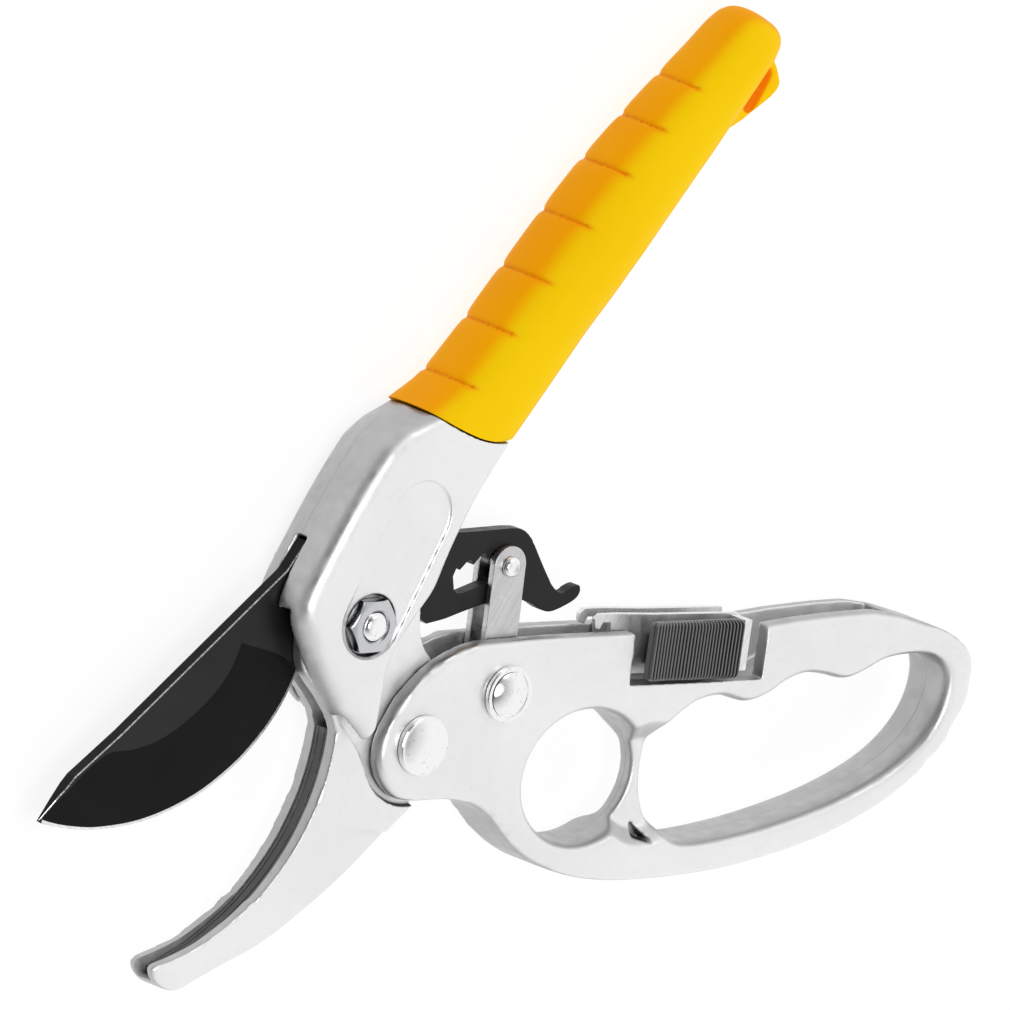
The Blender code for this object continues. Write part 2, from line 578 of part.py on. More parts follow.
def loop_outline():
    return smooth([(122.3, 13.2), (116.6, 12.4), (111.9, 10.3), (107.2, 8.9), (101.9, 9.9), (96.8, 10.4),
                   (92.0, 9.0), (87.4, 6.4), (82.6, 5.2), (78.6, 6.1), (75.0, 6.7), (69.8, 5.7), (65.4, 3.1),
                   (62.4, 0.4), (61.1, -3.4), (61.0, -9.0), (62.0, -13.8), (64.2, -18.0), (68.4, -21.4),
                   (75.0, -21.9), (87.0, -20.3), (97.0, -18.2), (107.5, -15.3), (117.0, -11.6), (124.0, -7.7),
                   (129.2, -3.0), (132.2, 2.2), (132.9, 7.6), (131.4, 11.2), (127.6, 13.0)], 2, closed=True)


def through_hole(name, outline, pivot):
    """A hole whose rims flare towards both faces."""
    flare = [(HANDLE_Z + 0.4, -1.5), (HANDLE_Z - 0.2, -0.9), (HANDLE_Z - 1.4, -0.15), (HANDLE_Z - 2.6, 0.0)]
    steps = [(-z, grow) for z, grow in flare] + flare[::-1]
    return loft(name, [level(bar(inset(outline, grow)), z) for z, grow in steps], pivot)


def web_hollow(side):
    """Cutter that thins the web between finger hole and loop from one face, with sloping ends."""
    levels = [(WEB_Z, -10.5, 9.0, 8.5), (HANDLE_Z + 0.8, -9.8, 13.0, 13.5)]
    sections = []
    for z, middle, wide, long in levels:
        outline = [(60.0 + wide * x, middle + long * y) for x, y in arc((0, 0), 1.0, 0, 345, 23)]
        sections.append(level(bar(outline), side * z))
    return loft("web_hollow", sections, HANDLE)


def make_lower_casting():
    body = plate("lower_casting", bar(handle_outline()), -HANDLE_Z, HANDLE_Z, HANDLE, SILVER,
                 edge=1.6, segments=3)
    channel = ([(-18.0, -18.0), (4.7, -18.0)] + arc((0, 0), 9.7, -61, -12, 5)
               + [(10.7, 0.6), (13.6, 3.0), (25.0, 3.8), (31.0, 8.3), (62.0, 8.3), (70.0, 9.3), (84.5, 9.3),
                  (92.0, 12.6), (104.0, 13.2), (111.0, 13.6), (117.0, 16.4), (117.5, 30.0), (-18.0, 30.0)])
    window = [(51.0, 10.0), (84.6, 10.0), (84.6, 30.0), (51.0, 30.0)]
    pocket = [(60.0, -18.2), (58.8, -21.0), (63.4, -22.0)]
    finger = [(43.3 + 15.2 * x, -8.2 + 13.2 * y) for x, y in arc((0, 0), 1.0, 0, 350, 35)]
    mark = bar([(59.9, -14.6)])[0]
    cut(body,
        plate("channel", bar(channel), -CHANNEL_Z, CHANNEL_Z, HANDLE),
        plate("lock_window", bar(window), CHANNEL_Z - 0.4, CLEAR, HANDLE),
        through_hole("finger_hole", finger, HANDLE),
        through_hole("loop_hole", loop_outline(), HANDLE),
        web_hollow(1), web_hollow(-1),
        plate("web_pocket", bar(pocket), WEB_Z - 0.8, CLEAR, HANDLE),
        hole("mould_mark", 1.5, mark, HANDLE, low=WEB_Z - 0.2, steps=16),
        hole("handle_rivet_hole", RIVET_R + 0.25, HANDLE, HANDLE),
        hole("link_rivet_hole", LINK_RIVET_R + 0.25, LINK_FOOT, HANDLE))


def dome(radius, base, height, steps=5):
    """Profile of a low dome, from its top down to its rim."""
    sphere = (radius ** 2 + height ** 2) / (2 * height)
    full = math.asin(radius / sphere)
    angles = [full * (i + 1) / steps for i in range(steps)]
    return [(sphere * math.sin(a), base + height - sphere * (1 - math.cos(a))) for a in angles]


def underside(profile):
    """The same profile hung under the tool."""
    return [(radius, -z) for radius, z in reversed(profile)]


def make_rivets():
    face = HANDLE_Z + GAP
    washer = 0.6
    head = dome(5.9, face + 1.1, 1.1) + [(5.9, face), (RIVET_R, face)]
    tail = dome(4.9, face + washer + GAP, 1.3) + [(RIVET_R, face + washer + GAP)]
    turned("handle_rivet", head + underside(tail), HANDLE, HANDLE, STEEL)
    ring("handle_rivet_washer", RIVET_R + 0.2, 5.6, -face - washer, -face, HANDLE, HANDLE, STEEL)
    collar = 1.1
    head = dome(4.5, face + collar + GAP, 1.4) + [(LINK_RIVET_R, face + collar + GAP)]
    tail = dome(4.4, face, 1.5) + [(LINK_RIVET_R, face)]
    turned("link_rivet", head + underside(tail), LINK_FOOT, HANDLE, STEEL)
    ring("link_rivet_washer", LINK_RIVET_R + 0.2, 5.5, face, face + collar, LINK_FOOT, HANDLE, STEEL)


# ---- link ------------------------------------------------------------------------------------
def make_link():
    rise = math.degrees(math.atan2(LINK_TOP[1] - LINK_FOOT[1], LINK_TOP[0] - LINK_FOOT[0]))
    outline = arc(LINK_TOP, 4.0, rise - 86, rise + 86, 10) + arc(LINK_FOOT, 4.2, rise + 90, rise + 270, 12)
    for name, side in (("link_arm_front", 1), ("link_arm_back", -1)):
        low, high = sorted(side * z for z in ARM_Z)
        arm = plate(name, outline, low, high, LINK_FOOT, STEEL, edge=0.15)
        cut(arm, hole(name + "_foot_hole", LINK_RIVET_R + 0.25, LINK_FOOT, LINK_FOOT),
            hole(name + "_pin_hole", PIN_R + GAP, LINK_TOP, LINK_FOOT, steps=16))
    room = ARM_Z[0] - GAP
    ring("link_spacer", LINK_RIVET_R + 0.25, 3.4, -room, room, LINK_FOOT, LINK_FOOT, STEEL)
    half = ARM_Z[1] + GAP
    head = dome(2.0, half + 0.35, 0.65, 3) + [(2.0, half), (PIN_R, half)]
    turned("link_pin", head + underside(head), LINK_TOP, LINK_FOOT, STEEL, steps=20)


def make_return_spring():
    body = coil(LINK_FOOT, 4.0, -1.0, 1.0, 2.1, -80)
    start = bar([(33.0, 9.4)])[0]
    path = [(*start, -1.0)] + body + [(15.4, -32.1, 1.0)]
    wire("return_spring", path, 0.4, LINK_FOOT, STEEL)


# ---- lock slide ------------------------------------------------------------------------------
def make_lock():
    low, high = FLANGE_Z
    flange = bar([(43.2, 20.6), (44.4, 20.2), (45.1, 21.6), (47.0, 21.6), (48.6, 11.2), (79.3, 11.2),
                  (79.3, 22.5), (58.0, 22.9), (48.5, 23.3), (44.1, 23.3), (42.9, 22.3)])
    web = bar([(73.0, 11.5), (79.0, 11.5), (79.0, 20.6), (73.0, 20.6)])
    lug = bar([(77.2, 12.2), (79.1, 12.2), (79.1, 22.2), (77.2, 22.2)])
    slide = plate("lock_plate", flange, low, high, HANDLE, STEEL)
    join(slide, plate("web", web, -low - 0.4, low + 0.4, HANDLE),
         plate("back_flange", flange, -high, -low, HANDLE),
         plate("lug", lug, high - 0.4, 7.6, HANDLE))
    centre = bar([LOCK_RIVET])[0]
    cut(slide, hole("lock_rivet_hole", 1.25, centre, HANDLE, low=0.0, steps=16),
        hole("lock_rivet_seat", 2.3, centre, HANDLE, low=0.0, high=2.35, steps=16))
    profile = [(1.1, 7.6), (1.1, 2.25), (2.1, 2.25), (2.1, 1.8)]
    turned("lock_rivet", profile, centre, HANDLE, STEEL, steps=16)
    make_knob(centre)


def make_knob(rivet):
    left, right, low, high, ribs = 53.8, 76.7, 11.0, 22.5, 27
    foot, shoulder, crest = KNOB_Z
    pitch = (right - left - 1.0) / ribs
    profile = [(right, shoulder), (right, crest - 0.6)]
    for k in range(ribs + 1):
        x = right - 0.5 - pitch * k
        wave = 0.12 * math.cos(2 * math.pi * (x - left) / 11.0)
        profile += [(x, crest + wave), (x - 0.45 * pitch, crest + wave - 0.3)]
    profile += [(left, crest - 0.6), (left, shoulder)]
    sections = []
    for y, trim in ((low, 0.35), (low + 0.35, 0.0), (high - 0.35, 0.0), (high, 0.35)):
        sections.append([(*bar([(x, y)])[0], z - (trim if z > crest - 1 else 0.0)) for x, z in profile])
    knob = loft("lock_knob", sections, HANDLE, NYLON)
    shank = bar([(57.0, 13.0), (73.0, 13.0), (73.0, 19.4), (57.0, 19.4)])
    join(knob, plate("knob_foot", shank, foot, shoulder + 0.5, HANDLE))
    cut(knob, hole("knob_rivet_hole", 1.25, rivet, HANDLE, low=0.0, high=7.8, steps=16))


def clear_scene():
    for obj in list(bpy.data.objects):
        bpy.data.objects.remove(obj, do_unlink=True)


clear_scene()
PARTS = bpy.data.collections.new("anvil_pruner")
CUTTERS = bpy.data.collections.new("cutters")
for group in (PARTS, CUTTERS):
    bpy.context.scene.collection.children.link(group)

make_upper_casting()
make_grip()
make_blade()
make_main_bolt()
make_ratchet_plate()
make_ratchet_spring()
make_jaw()
make_insert()
make_lower_casting()
make_rivets()
make_link()
make_return_spring()
make_lock()
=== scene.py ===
"""The looks of an anvil pruner with a ratchet link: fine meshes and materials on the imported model.

Lengths are in millimetres until metres() is applied. In the drawing plane the main bolt is at
(0, 0), +X runs towards the grip end and z = 0 is the middle of the tool. Every piece's origin is
the main bolt, so that its object coordinates are the drawing plane's own.
"""
import math

import bmesh
import bpy
import numpy as np
from mathutils import Matrix, Vector


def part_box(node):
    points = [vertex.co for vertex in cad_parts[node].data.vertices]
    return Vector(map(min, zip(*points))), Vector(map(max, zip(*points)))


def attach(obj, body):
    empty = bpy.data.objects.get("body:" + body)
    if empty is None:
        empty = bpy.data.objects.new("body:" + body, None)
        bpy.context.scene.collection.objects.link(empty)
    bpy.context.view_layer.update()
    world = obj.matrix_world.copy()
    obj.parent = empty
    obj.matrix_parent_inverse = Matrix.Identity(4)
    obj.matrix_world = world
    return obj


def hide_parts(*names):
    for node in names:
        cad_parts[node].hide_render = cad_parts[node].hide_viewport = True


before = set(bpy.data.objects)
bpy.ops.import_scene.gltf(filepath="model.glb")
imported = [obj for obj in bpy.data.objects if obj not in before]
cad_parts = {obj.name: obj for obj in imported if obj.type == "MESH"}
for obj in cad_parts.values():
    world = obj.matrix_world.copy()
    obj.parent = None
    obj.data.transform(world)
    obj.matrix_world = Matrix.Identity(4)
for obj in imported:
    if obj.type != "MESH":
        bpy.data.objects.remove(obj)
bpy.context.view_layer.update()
BUSH_LOW, BUSH_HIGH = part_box("pivot_bush")
BOLT = (BUSH_LOW + BUSH_HIGH) / 2
FLOOR = min(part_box(name)[0].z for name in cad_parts)

# ---- joints, sizes -----------------------------------------------------------------------------
MAIN = (0, 0)                    # main bolt
HANDLE = (-12.2, -28.6)          # large rivet: jaw and lower handle
LINK_FOOT = (5.7, -41.2)         # small rivet: lower handle and link arms
LINK_TOP = (26.4, -28.9)         # pin in the toothed slot
RATCHET = (15, -4.5)             # ratchet plate in the upper handle
BLADE_PIN = (3, 13.8)
LOCK_RIVET = (65, 16.2)          # on the lower handle's own axes
BAR_ANGLE = -60.7                # direction of the lower handle's top bar
JAW_CLOSING = 31.5

BODY_Z = 9
CAVITY_Z = 4.8
SKIRT_Z = 6.7
RECESS_Z = 8.45
BLADE_Z = 1.4
JAW_Z = 4.5
TANG_Z = 3.05
FORK_GAP_Z = 1.7
INSERT_Z = 1.85
GROOVE_Z = 2
HANDLE_Z = 6.4
CHANNEL_Z = 3.2
WEB_Z = 2.1                      # web between finger hole and loop
ARM_Z = (1.6, 3)
RATCHET_Z = 1.3
FLANGE_Z = (1.75, 2.85)
KNOB_Z = (3.15, 6.7, 8.75)
NUT_Z = (7.1, 10)
CLEAR = 12                       # height past both faces, for cutters

BOLT_R = 2.75
BUSH_R = (3, 4.2)
NUT_R = 5.75
HEAD_R = 6.2
PIN_R = 1.5
RIVET_R = 2.9
LINK_RIVET_R = 2.5
GAP = 0.15
SLOT_LENGTH = 10.9
TOOTH_PITCH = 3.5
POINT_START = -58.5              # x where the blade starts to thin out towards its tip
POINT_LENGTH = 8.8
SPINE_Y = 0.0185                 # metres; upright faces of the blade above it take a darker coating, painted shade on the spine
GRIP_DIPS = (48.5, 61.3, 73.5, 86.8, 99.6, 110.8, 121.4)


# ---- plane geometry ----------------------------------------------------------------------------
def turn(points, degrees, centre=(0, 0)):
    c, s = math.cos(math.radians(degrees)), math.sin(math.radians(degrees))
    cx, cy = centre
    return [(cx + c * (x - cx) - s * (y - cy), cy + s * (x - cx) + c * (y - cy)) for x, y in points]


def bar(points):
    """From the lower handle's own axes (origin at its large rivet, x along the bar)."""
    moved = [(x + HANDLE[0], y + HANDLE[1]) for x, y in points]
    return turn(moved, BAR_ANGLE, HANDLE)


def arc(centre, radius, start, end, steps):
    angles = [math.radians(start + (end - start) * i / steps) for i in range(steps + 1)]
    return [(centre[0] + radius * math.cos(a), centre[1] + radius * math.sin(a)) for a in angles]


def stadium(a, b, radius, steps=24):
    along = math.degrees(math.atan2(b[1] - a[1], b[0] - a[0]))
    return arc(b, radius, along - 90, along + 90, steps) + arc(a, radius, along + 90, along + 270, steps)


def smooth(points, per_span=5, closed=False):
    """Catmull-Rom curve through the points."""
    last = len(points) - 1
    out = []
    for i in range(last + 1 if closed else last):
        if closed:
            p = [points[(i + k) % (last + 1)] for k in (-1, 0, 1, 2)]
        else:
            p = [points[min(max(i + k, 0), last)] for k in (-1, 0, 1, 2)]
        for j in range(per_span):
            t = j / per_span
            out.append(tuple(
                0.5 * (2 * p[1][k] + (p[2][k] - p[0][k]) * t
                       + (2 * p[0][k] - 5 * p[1][k] + 4 * p[2][k] - p[3][k]) * t * t
                       + (3 * p[1][k] - p[0][k] - 3 * p[2][k] + p[3][k]) * t ** 3)
                for k in (0, 1)))
    return out if closed else out + [points[-1]]


def inset(points, distance, closed=True):
    """Moves an anticlockwise outline inwards by the distance, or an open line to its left."""
    last = len(points) - 1
    out = []
    for i, here in enumerate(points):
        before = points[i - 1] if closed or i > 0 else here
        after = points[(i + 1) % (last + 1)] if closed or i < last else here
        sides = []
        for a, b in ((before, here), (here, after)):
            length = math.hypot(b[0] - a[0], b[1] - a[1])
            if length > 1e-9:
                sides.append(((a[1] - b[1]) / length, (b[0] - a[0]) / length))
        sx, sy = sum(side[0] for side in sides), sum(side[1] for side in sides)
        length = max(math.hypot(sx, sy), 1e-9)
        reach = distance / (length * max(length / len(sides), 0.6))
        out.append((here[0] + sx * reach, here[1] + sy * reach))
    return out


def metres(x, y, z):
    return Vector((x, y, z)) * 0.001


# ---- meshes ------------------------------------------------------------------------------------
def add(name, data, place=(0, 0, 0)):
    """An object of the scene with the given data."""
    obj = bpy.data.objects.new(name, data)
    obj.location = place
    bpy.context.scene.collection.objects.link(obj)
    return obj


def mesh_of(name, bm):
    mesh = bpy.data.meshes.new(name)
    bm.to_mesh(mesh)
    bm.free()
    return mesh


def piece(name, bm):
    """An object with its faces turned outwards and its origin on the main bolt."""
    bmesh.ops.recalc_face_normals(bm, faces=bm.faces)
    return add(name, mesh_of(name, bm), BOLT)


def plate(name, outline, low, high, edge=0, segments=3):
    """A flat outline given thickness, with its rims rounded by the edge."""
    bm = bmesh.new()
    bottom = bm.faces.new([bm.verts.new(metres(x, y, low)) for x, y in outline])
    grown = bmesh.ops.extrude_face_region(bm, geom=[bottom])
    for item in grown["geom"]:
        if isinstance(item, bmesh.types.BMVert):
            item.co.z = high * 0.001
    if edge > 0:
        rims = [e for e in bm.edges if abs(e.verts[0].co.z - e.verts[1].co.z) < 1e-7]
        bmesh.ops.bevel(bm, geom=rims, offset=edge * 0.001, segments=segments, profile=0.5,
                        affect="EDGES", clamp_overlap=False)
    return piece(name, bm)


def loft(name, sections):
    """A closed body through sections of equal length, each a list of (x, y, z) points."""
    bm = bmesh.new()
    rings = [[bm.verts.new(metres(*point)) for point in section] for section in sections]
    for a, b in zip(rings, rings[1:]):
        for i in range(len(a)):
            j = (i + 1) % len(a)
            bm.faces.new((a[i], a[j], b[j], b[i]))
    bm.faces.new(rings[0])
    bm.faces.new(rings[-1])
    return piece(name, bm)


def turned(name, profile, centre=MAIN, steps=96, hollow=False):
    """A solid of revolution; the profile of (radius, z) runs from top to bottom."""
    points = list(profile)
    if not hollow:
        points = [(0, profile[0][1])] + points + [(0, profile[-1][1])]
    bm = bmesh.new()
    verts = [bm.verts.new(metres(centre[0] + r, centre[1], z)) for r, z in points]
    pairs = list(zip(verts, verts[1:])) + ([(verts[-1], verts[0])] if hollow else [])
    edges = [bm.edges.new(pair) for pair in pairs]
    bmesh.ops.spin(bm, geom=verts + edges, cent=metres(*centre, 0), axis=(0, 0, 1),
                   angle=2 * math.pi, steps=steps)
    bmesh.ops.remove_doubles(bm, verts=bm.verts, dist=1e-7)
    return piece(name, bm)


def hole(radius, centre, low=-CLEAR, high=CLEAR):
    """Cutter for a round hole."""
    return turned("hole", [(radius, high), (radius, low)], centre, 64)


def through(outline):
    """Cutter of any outline that passes both faces of the tool."""
    return plate("through", outline, -CLEAR, CLEAR)


def slab(outline, half):
    """Cutter of any outline that reaches the height half to both sides of the middle."""
    return plate("slab", outline, -half, half)


def ring(name, inner, outer, low, high, centre, edge=0.12):
    """A washer with bevelled outer rims."""
    profile = [(inner, high), (outer - edge, high), (outer, high - edge),
               (outer, low + edge), (outer - edge, low), (inner, low)]
    return turned(name, profile, centre, hollow=True)


def evaluated(obj):
    """The mesh of an object after its modifiers or its curve's thickness."""
    depsgraph = bpy.context.evaluated_depsgraph_get()
    return bpy.data.meshes.new_from_object(obj.evaluated_get(depsgraph))


def wire(name, path, radius):
    """A round wire along a path of (x, y, z) points."""
    curve = bpy.data.curves.new(name, "CURVE")
    curve.dimensions = "3D"
    curve.bevel_depth = radius * 0.001
    curve.bevel_resolution = 4
    curve.use_fill_caps = True
    spline = curve.splines.new("POLY")
    spline.points.add(len(path) - 1)
    for point, position in zip(spline.points, path):
        point.co = (*metres(*position), 1)
    guide = add(name + "_line", curve)
    bm = bmesh.new()
    bm.from_mesh(evaluated(guide))
    bpy.data.objects.remove(guide, do_unlink=True)
    bmesh.ops.remove_doubles(bm, verts=bm.verts, dist=1e-7)
    return piece(name, bm)


def bake(obj):
    """Makes the object's modifiers part of its mesh."""
    mesh = evaluated(obj)
    obj.modifiers.clear()
    obj.data = mesh


def combine(obj, others, operation):
    for other in others:
        modifier = obj.modifiers.new(other.name, "BOOLEAN")
        modifier.operation = operation
        modifier.solver = "EXACT"
        modifier.object = other
    bake(obj)
    for other in others:
        bpy.data.objects.remove(other, do_unlink=True)


def cut(obj, *cutters):
    combine(obj, cutters, "DIFFERENCE")


def join(obj, *others):
    combine(obj, others, "UNION")


def both_faces(outline, low, high):
    """Two equal cutters, one on each face of the tool."""
    return plate("front", outline, low, high), plate("back", outline, -high, -low)


def soften(obj, voxel, rounds):
    """Rounds all edges as on a casting: an even mesh whose points settle between their neighbours."""
    modifier = obj.modifiers.new("even", "REMESH")
    modifier.mode = "VOXEL"
    modifier.voxel_size = voxel * 0.001
    bake(obj)
    mesh = obj.data
    co = np.empty(len(mesh.vertices) * 3)
    mesh.vertices.foreach_get("co", co)
    co = co.reshape(-1, 3)
    ends = np.empty(len(mesh.edges) * 2, int)
    mesh.edges.foreach_get("vertices", ends)
    a, b = ends.reshape(-1, 2).T
    count = (np.bincount(a, minlength=len(co)) + np.bincount(b, minlength=len(co)))[:, None]
    for _ in range(rounds):
        total = np.stack([np.bincount(a, co[b, k], len(co)) + np.bincount(b, co[a, k], len(co))
                          for k in range(3)], axis=1)
        co = co * 0.5 + total / count * 0.5
    mesh.vertices.foreach_set("co", co.ravel())
    mesh.update()


def thin_out(obj, ratio):
    """Fewer faces where the surface is even."""
    modifier = obj.modifiers.new("thin", "DECIMATE")
    modifier.ratio = ratio
    bake(obj)


def dress(obj, body, slot, material, *nodes, angle=35, weighted=True):
    """Finish, shading, body and CAD nodes of a piece."""
    if not obj.data.materials:
        obj.data.materials.append(material)
    obj.data.shade_smooth()
    obj.data.set_sharp_from_angle(angle=math.radians(angle))
    if weighted:
        normals = obj.modifiers.new("normals", "WEIGHTED_NORMAL")
        normals.keep_sharp = True
        normals.weight = 50
    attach(obj, body)
    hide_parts(*nodes)
    return obj


# ---- materials ---------------------------------------------------------------------------------
class Nodes:
    """Short names for the node types that the materials share."""

    def __init__(self, name, colour, metallic, roughness):
        self.material = bpy.data.materials.new(name)
        self.material.use_nodes = True
        self.tree = self.material.node_tree
        self.shader = self.tree.nodes["Principled BSDF"]
        self.shader.inputs["Metallic"].default_value = metallic
        self.shader.inputs["Roughness"].default_value = roughness
        self.shader.inputs["Base Color"].default_value = (*colour, 1)
        self.place = self.new("TexCoord").outputs["Object"]

    def new(self, kind, **constants):
        """A node with constants on its sockets."""
        node = self.tree.nodes.new("ShaderNode" + kind)
        for socket, value in constants.items():
            node.inputs[socket].default_value = value
        return node

    def link(self, source, target):
        self.tree.links.new(source, target)

    def stretched(self, scale, turned_by):
        """Object coordinates stretched by the scale, after a turn about Z in degrees."""
        node = self.new("Mapping", Scale=scale, Rotation=(0, 0, math.radians(turned_by)))
        self.link(self.place, node.inputs["Vector"])
        return node.outputs["Vector"]

    def noise(self, scale, detail=3, rough=0.5, place=None):
        node = self.new("TexNoise", Scale=scale, Detail=detail, Roughness=rough)
        self.link(place or self.place, node.inputs["Vector"])
        return node.outputs["Fac"]

    def spread(self, value, low=0, high=1, start=0.3, end=0.7):
        """The value from start to end, as a number from low to high."""
        ends = {"From Min": start, "From Max": end, "To Min": low, "To Max": high}
        node = self.new("MapRange", **ends)
        node.interpolation_type = "SMOOTHSTEP"
        self.link(value, node.inputs["Value"])
        return node.outputs["Result"]

    def math(self, operation, a, b):
        node = self.new("Math")
        node.operation = operation
        for socket, value in zip(node.inputs, (a, b)):
            if isinstance(value, (int, float)):
                socket.default_value = value
            else:
                self.link(value, socket)
        return node.outputs[0]

    def axis(self, name, place=None):
        node = self.new("SeparateXYZ")
        self.link(place or self.place, node.inputs[0])
        return node.outputs[name]

    def facing(self, low, high):
        """0 on the sides of the tool and 1 on its two faces, from the slope of the surface; it masks
        painted shade on the sides.
        """
        slope = self.axis("Z", self.place.node.outputs["Normal"])
        return self.spread(self.math("ABSOLUTE", slope, 0), 0, 1, low, high)

    def mix(self, factor, a, b):
        """Two colours or colour sockets, mixed by the factor."""
        node = self.new("Mix")
        node.data_type = "RGBA"
        self.link(factor, node.inputs[0])
        for socket, value in ((node.inputs[6], a), (node.inputs[7], b)):
            if isinstance(value, tuple):
                socket.default_value = (*value, 1)
            else:
                self.link(value, socket)
        return node.outputs[2]

    def edges(self, low, high):
        """1 on outer edges of the shape and 0 elsewhere; with low above high it is 1 in hollows instead.
        """
        return self.spread(self.new("NewGeometry").outputs["Pointiness"], 0, 1, low, high)

    def crevice_shade(self, distance, low, high):
        """Painted shade: 1 deep inside narrow gaps and 0 in the open, where the distance is in
        millimetres.
        """
        node = self.new("AmbientOcclusion", Distance=distance * 0.001)
        node.samples = 8
        return self.spread(node.outputs["AO"], 1, 0, low, high)

    def colour(self, socket):
        self.link(socket, self.shader.inputs["Base Color"])

    def roughness(self, value, low, high):
        self.link(self.spread(value, low, high), self.shader.inputs["Roughness"])

    def bump(self, height, distance, strength=1):
        """Adds a height that runs from 0 to 1 over the distance in millimetres."""
        node = self.new("Bump", Distance=distance * 0.001, Strength=strength)
        self.link(height, node.inputs["Height"])
        before = self.shader.inputs["Normal"].links
        if before:
            self.link(before[0].from_socket, node.inputs["Normal"])
        self.link(node.outputs["Normal"], self.shader.inputs["Normal"])


def cast_metal(name):
    """Blasted aluminium casting with a fine grain, soft patches and a parting line at mid height;
    painted shade darkens its side walls and, to near black, its narrow gaps.
    """
    n = Nodes(name, (0.80, 0.80, 0.81), 0.92, 0.42)
    patches = n.spread(n.noise(35, 4), 0, 1, 0.35, 0.65)
    # Painted shade: the side walls take a darker grey than the two faces, mixed by the slope of the
    # surface.
    shaded_walls = n.mix(patches, (0.44, 0.44, 0.445), (0.51, 0.51, 0.515))
    faces = n.mix(patches, (0.87, 0.87, 0.875), (0.91, 0.91, 0.915))
    tone = n.mix(n.facing(0.35, 0.93), shaded_walls, faces)
    speckle = n.spread(n.noise(2600, 2, 0.7), 0, 1, 0.60, 0.78)
    tone = n.mix(n.math("MULTIPLY", speckle, 0.35), tone, (0.50, 0.50, 0.51))
    height = n.math("ABSOLUTE", n.axis("Z"), 0)
    seam = n.spread(height, 1, 0, 0.00004, 0.00016)
    tone = n.mix(n.math("MULTIPLY", seam, 0.35), tone, (0.45, 0.45, 0.47))
    # Painted shade: narrow gaps and recesses are darkened to near black by ambient occlusion.
    n.colour(n.mix(n.crevice_shade(4, 0.10, 0.42), tone, (0.02, 0.02, 0.021)))
    n.roughness(n.noise(420, 4), 0.34, 0.50)
    n.bump(n.noise(1900, 3, 0.65), 0.05, 0.45)
    n.bump(n.noise(160, 2), 0.10, 0.25)
    n.bump(seam, 0.05, 0.8)
    return n.material


def brushed_steel(name, colour, roughness, turned_by, strength=0.25):
    """Steel with fine grinding lines along one direction and a few scuffs."""
    n = Nodes(name, colour, 1, roughness)
    lines = n.noise(1, 4, 0.6, n.stretched((45, 3200, 900), turned_by))
    darker = tuple(c * 0.82 for c in colour)
    tone = n.mix(n.spread(lines), darker, colour)
    scuffs = n.spread(n.noise(260, 5, 0.7), 0, 1, 0.58, 0.72)
    n.colour(n.mix(scuffs, tone, tuple(min(c * 1.12, 1) for c in colour)))
    n.roughness(n.noise(500, 4), roughness - 0.06, roughness + 0.08)
    n.bump(lines, 0.02, strength)
    return n.material


def polished_steel(name, colour, roughness):
    """Turned or pressed bright metal with faint handling marks."""
    n = Nodes(name, colour, 1, roughness)
    marks = n.spread(n.noise(700, 6, 0.75), 0, 1, 0.56, 0.70)
    n.colour(n.mix(marks, colour, tuple(c * 0.72 for c in colour)))
    n.roughness(n.noise(330, 5), roughness - 0.04, roughness + 0.10)
    n.bump(n.noise(900, 4), 0.02, 0.25)
    return n.material


def black_coating(name, colour=(0.010, 0.010, 0.011), roughness=0.36, gloss=0.22):
    """Non-stick coating: satin black with a faint orange peel and lighter specks of dust."""
    n = Nodes(name, colour, 0, roughness)
    n.shader.inputs["Specular IOR Level"].default_value = gloss
    clouds = n.spread(n.noise(55, 4))
    tone = n.mix(clouds, colour, tuple(c * 1.35 for c in colour))
    dust = n.spread(n.noise(1500, 4, 0.7), 0, 1, 0.66, 0.78)
    n.colour(n.mix(dust, tone, tuple(c * 2.5 for c in colour)))
    n.roughness(n.noise(240, 4), roughness - 0.06, roughness + 0.10)
    n.bump(n.noise(1100, 3), 0.03, 0.3)
    return n.material


def yellow_rubber(name):
    """Dip-moulded soft plastic: deep yellow, with painted shade as a deeper orange on its sides and in
    the finger dips and grooves.
    """
    n = Nodes(name, (1, 0.52, 0), 0, 0.5)
    n.shader.inputs["Specular IOR Level"].default_value = 0.05
    clouds = n.spread(n.noise(28, 3))
    faces = n.mix(clouds, (1, 0.60, 0), (1, 0.64, 0))
    # Painted shade: the sides take a deeper orange than the two faces.
    sides = n.mix(clouds, (0.98, 0.37, 0), (1, 0.41, 0))
    tone = n.mix(n.facing(0.45, 0.92), sides, faces)
    # Painted shade: hollows, finger dips and grooves are darkened to a deeper orange by low pointiness.
    n.colour(n.mix(n.edges(0.495, 0.45), tone, (0.86, 0.24, 0)))
    n.roughness(n.noise(300, 4), 0.42, 0.56)
    n.bump(n.noise(1400, 3, 0.6), 0.04, 0.35)
    return n.material


def black_plastic(name, tone, worn):
    """Moulded black nylon with a fine matt texture and greyer worn crests."""
    n = Nodes(name, tone, 0, 0.34)
    n.shader.inputs["Specular IOR Level"].default_value = 0.6
    clouds = n.spread(n.noise(120, 4))
    body = n.mix(clouds, tone, tuple(1.6 * c for c in tone))
    n.colour(n.mix(n.edges(0.51, 0.56), body, worn))
    n.roughness(n.noise(600, 4), 0.28, 0.44)
    n.bump(n.noise(1600, 3), 0.03, 0.3)
    return n.material


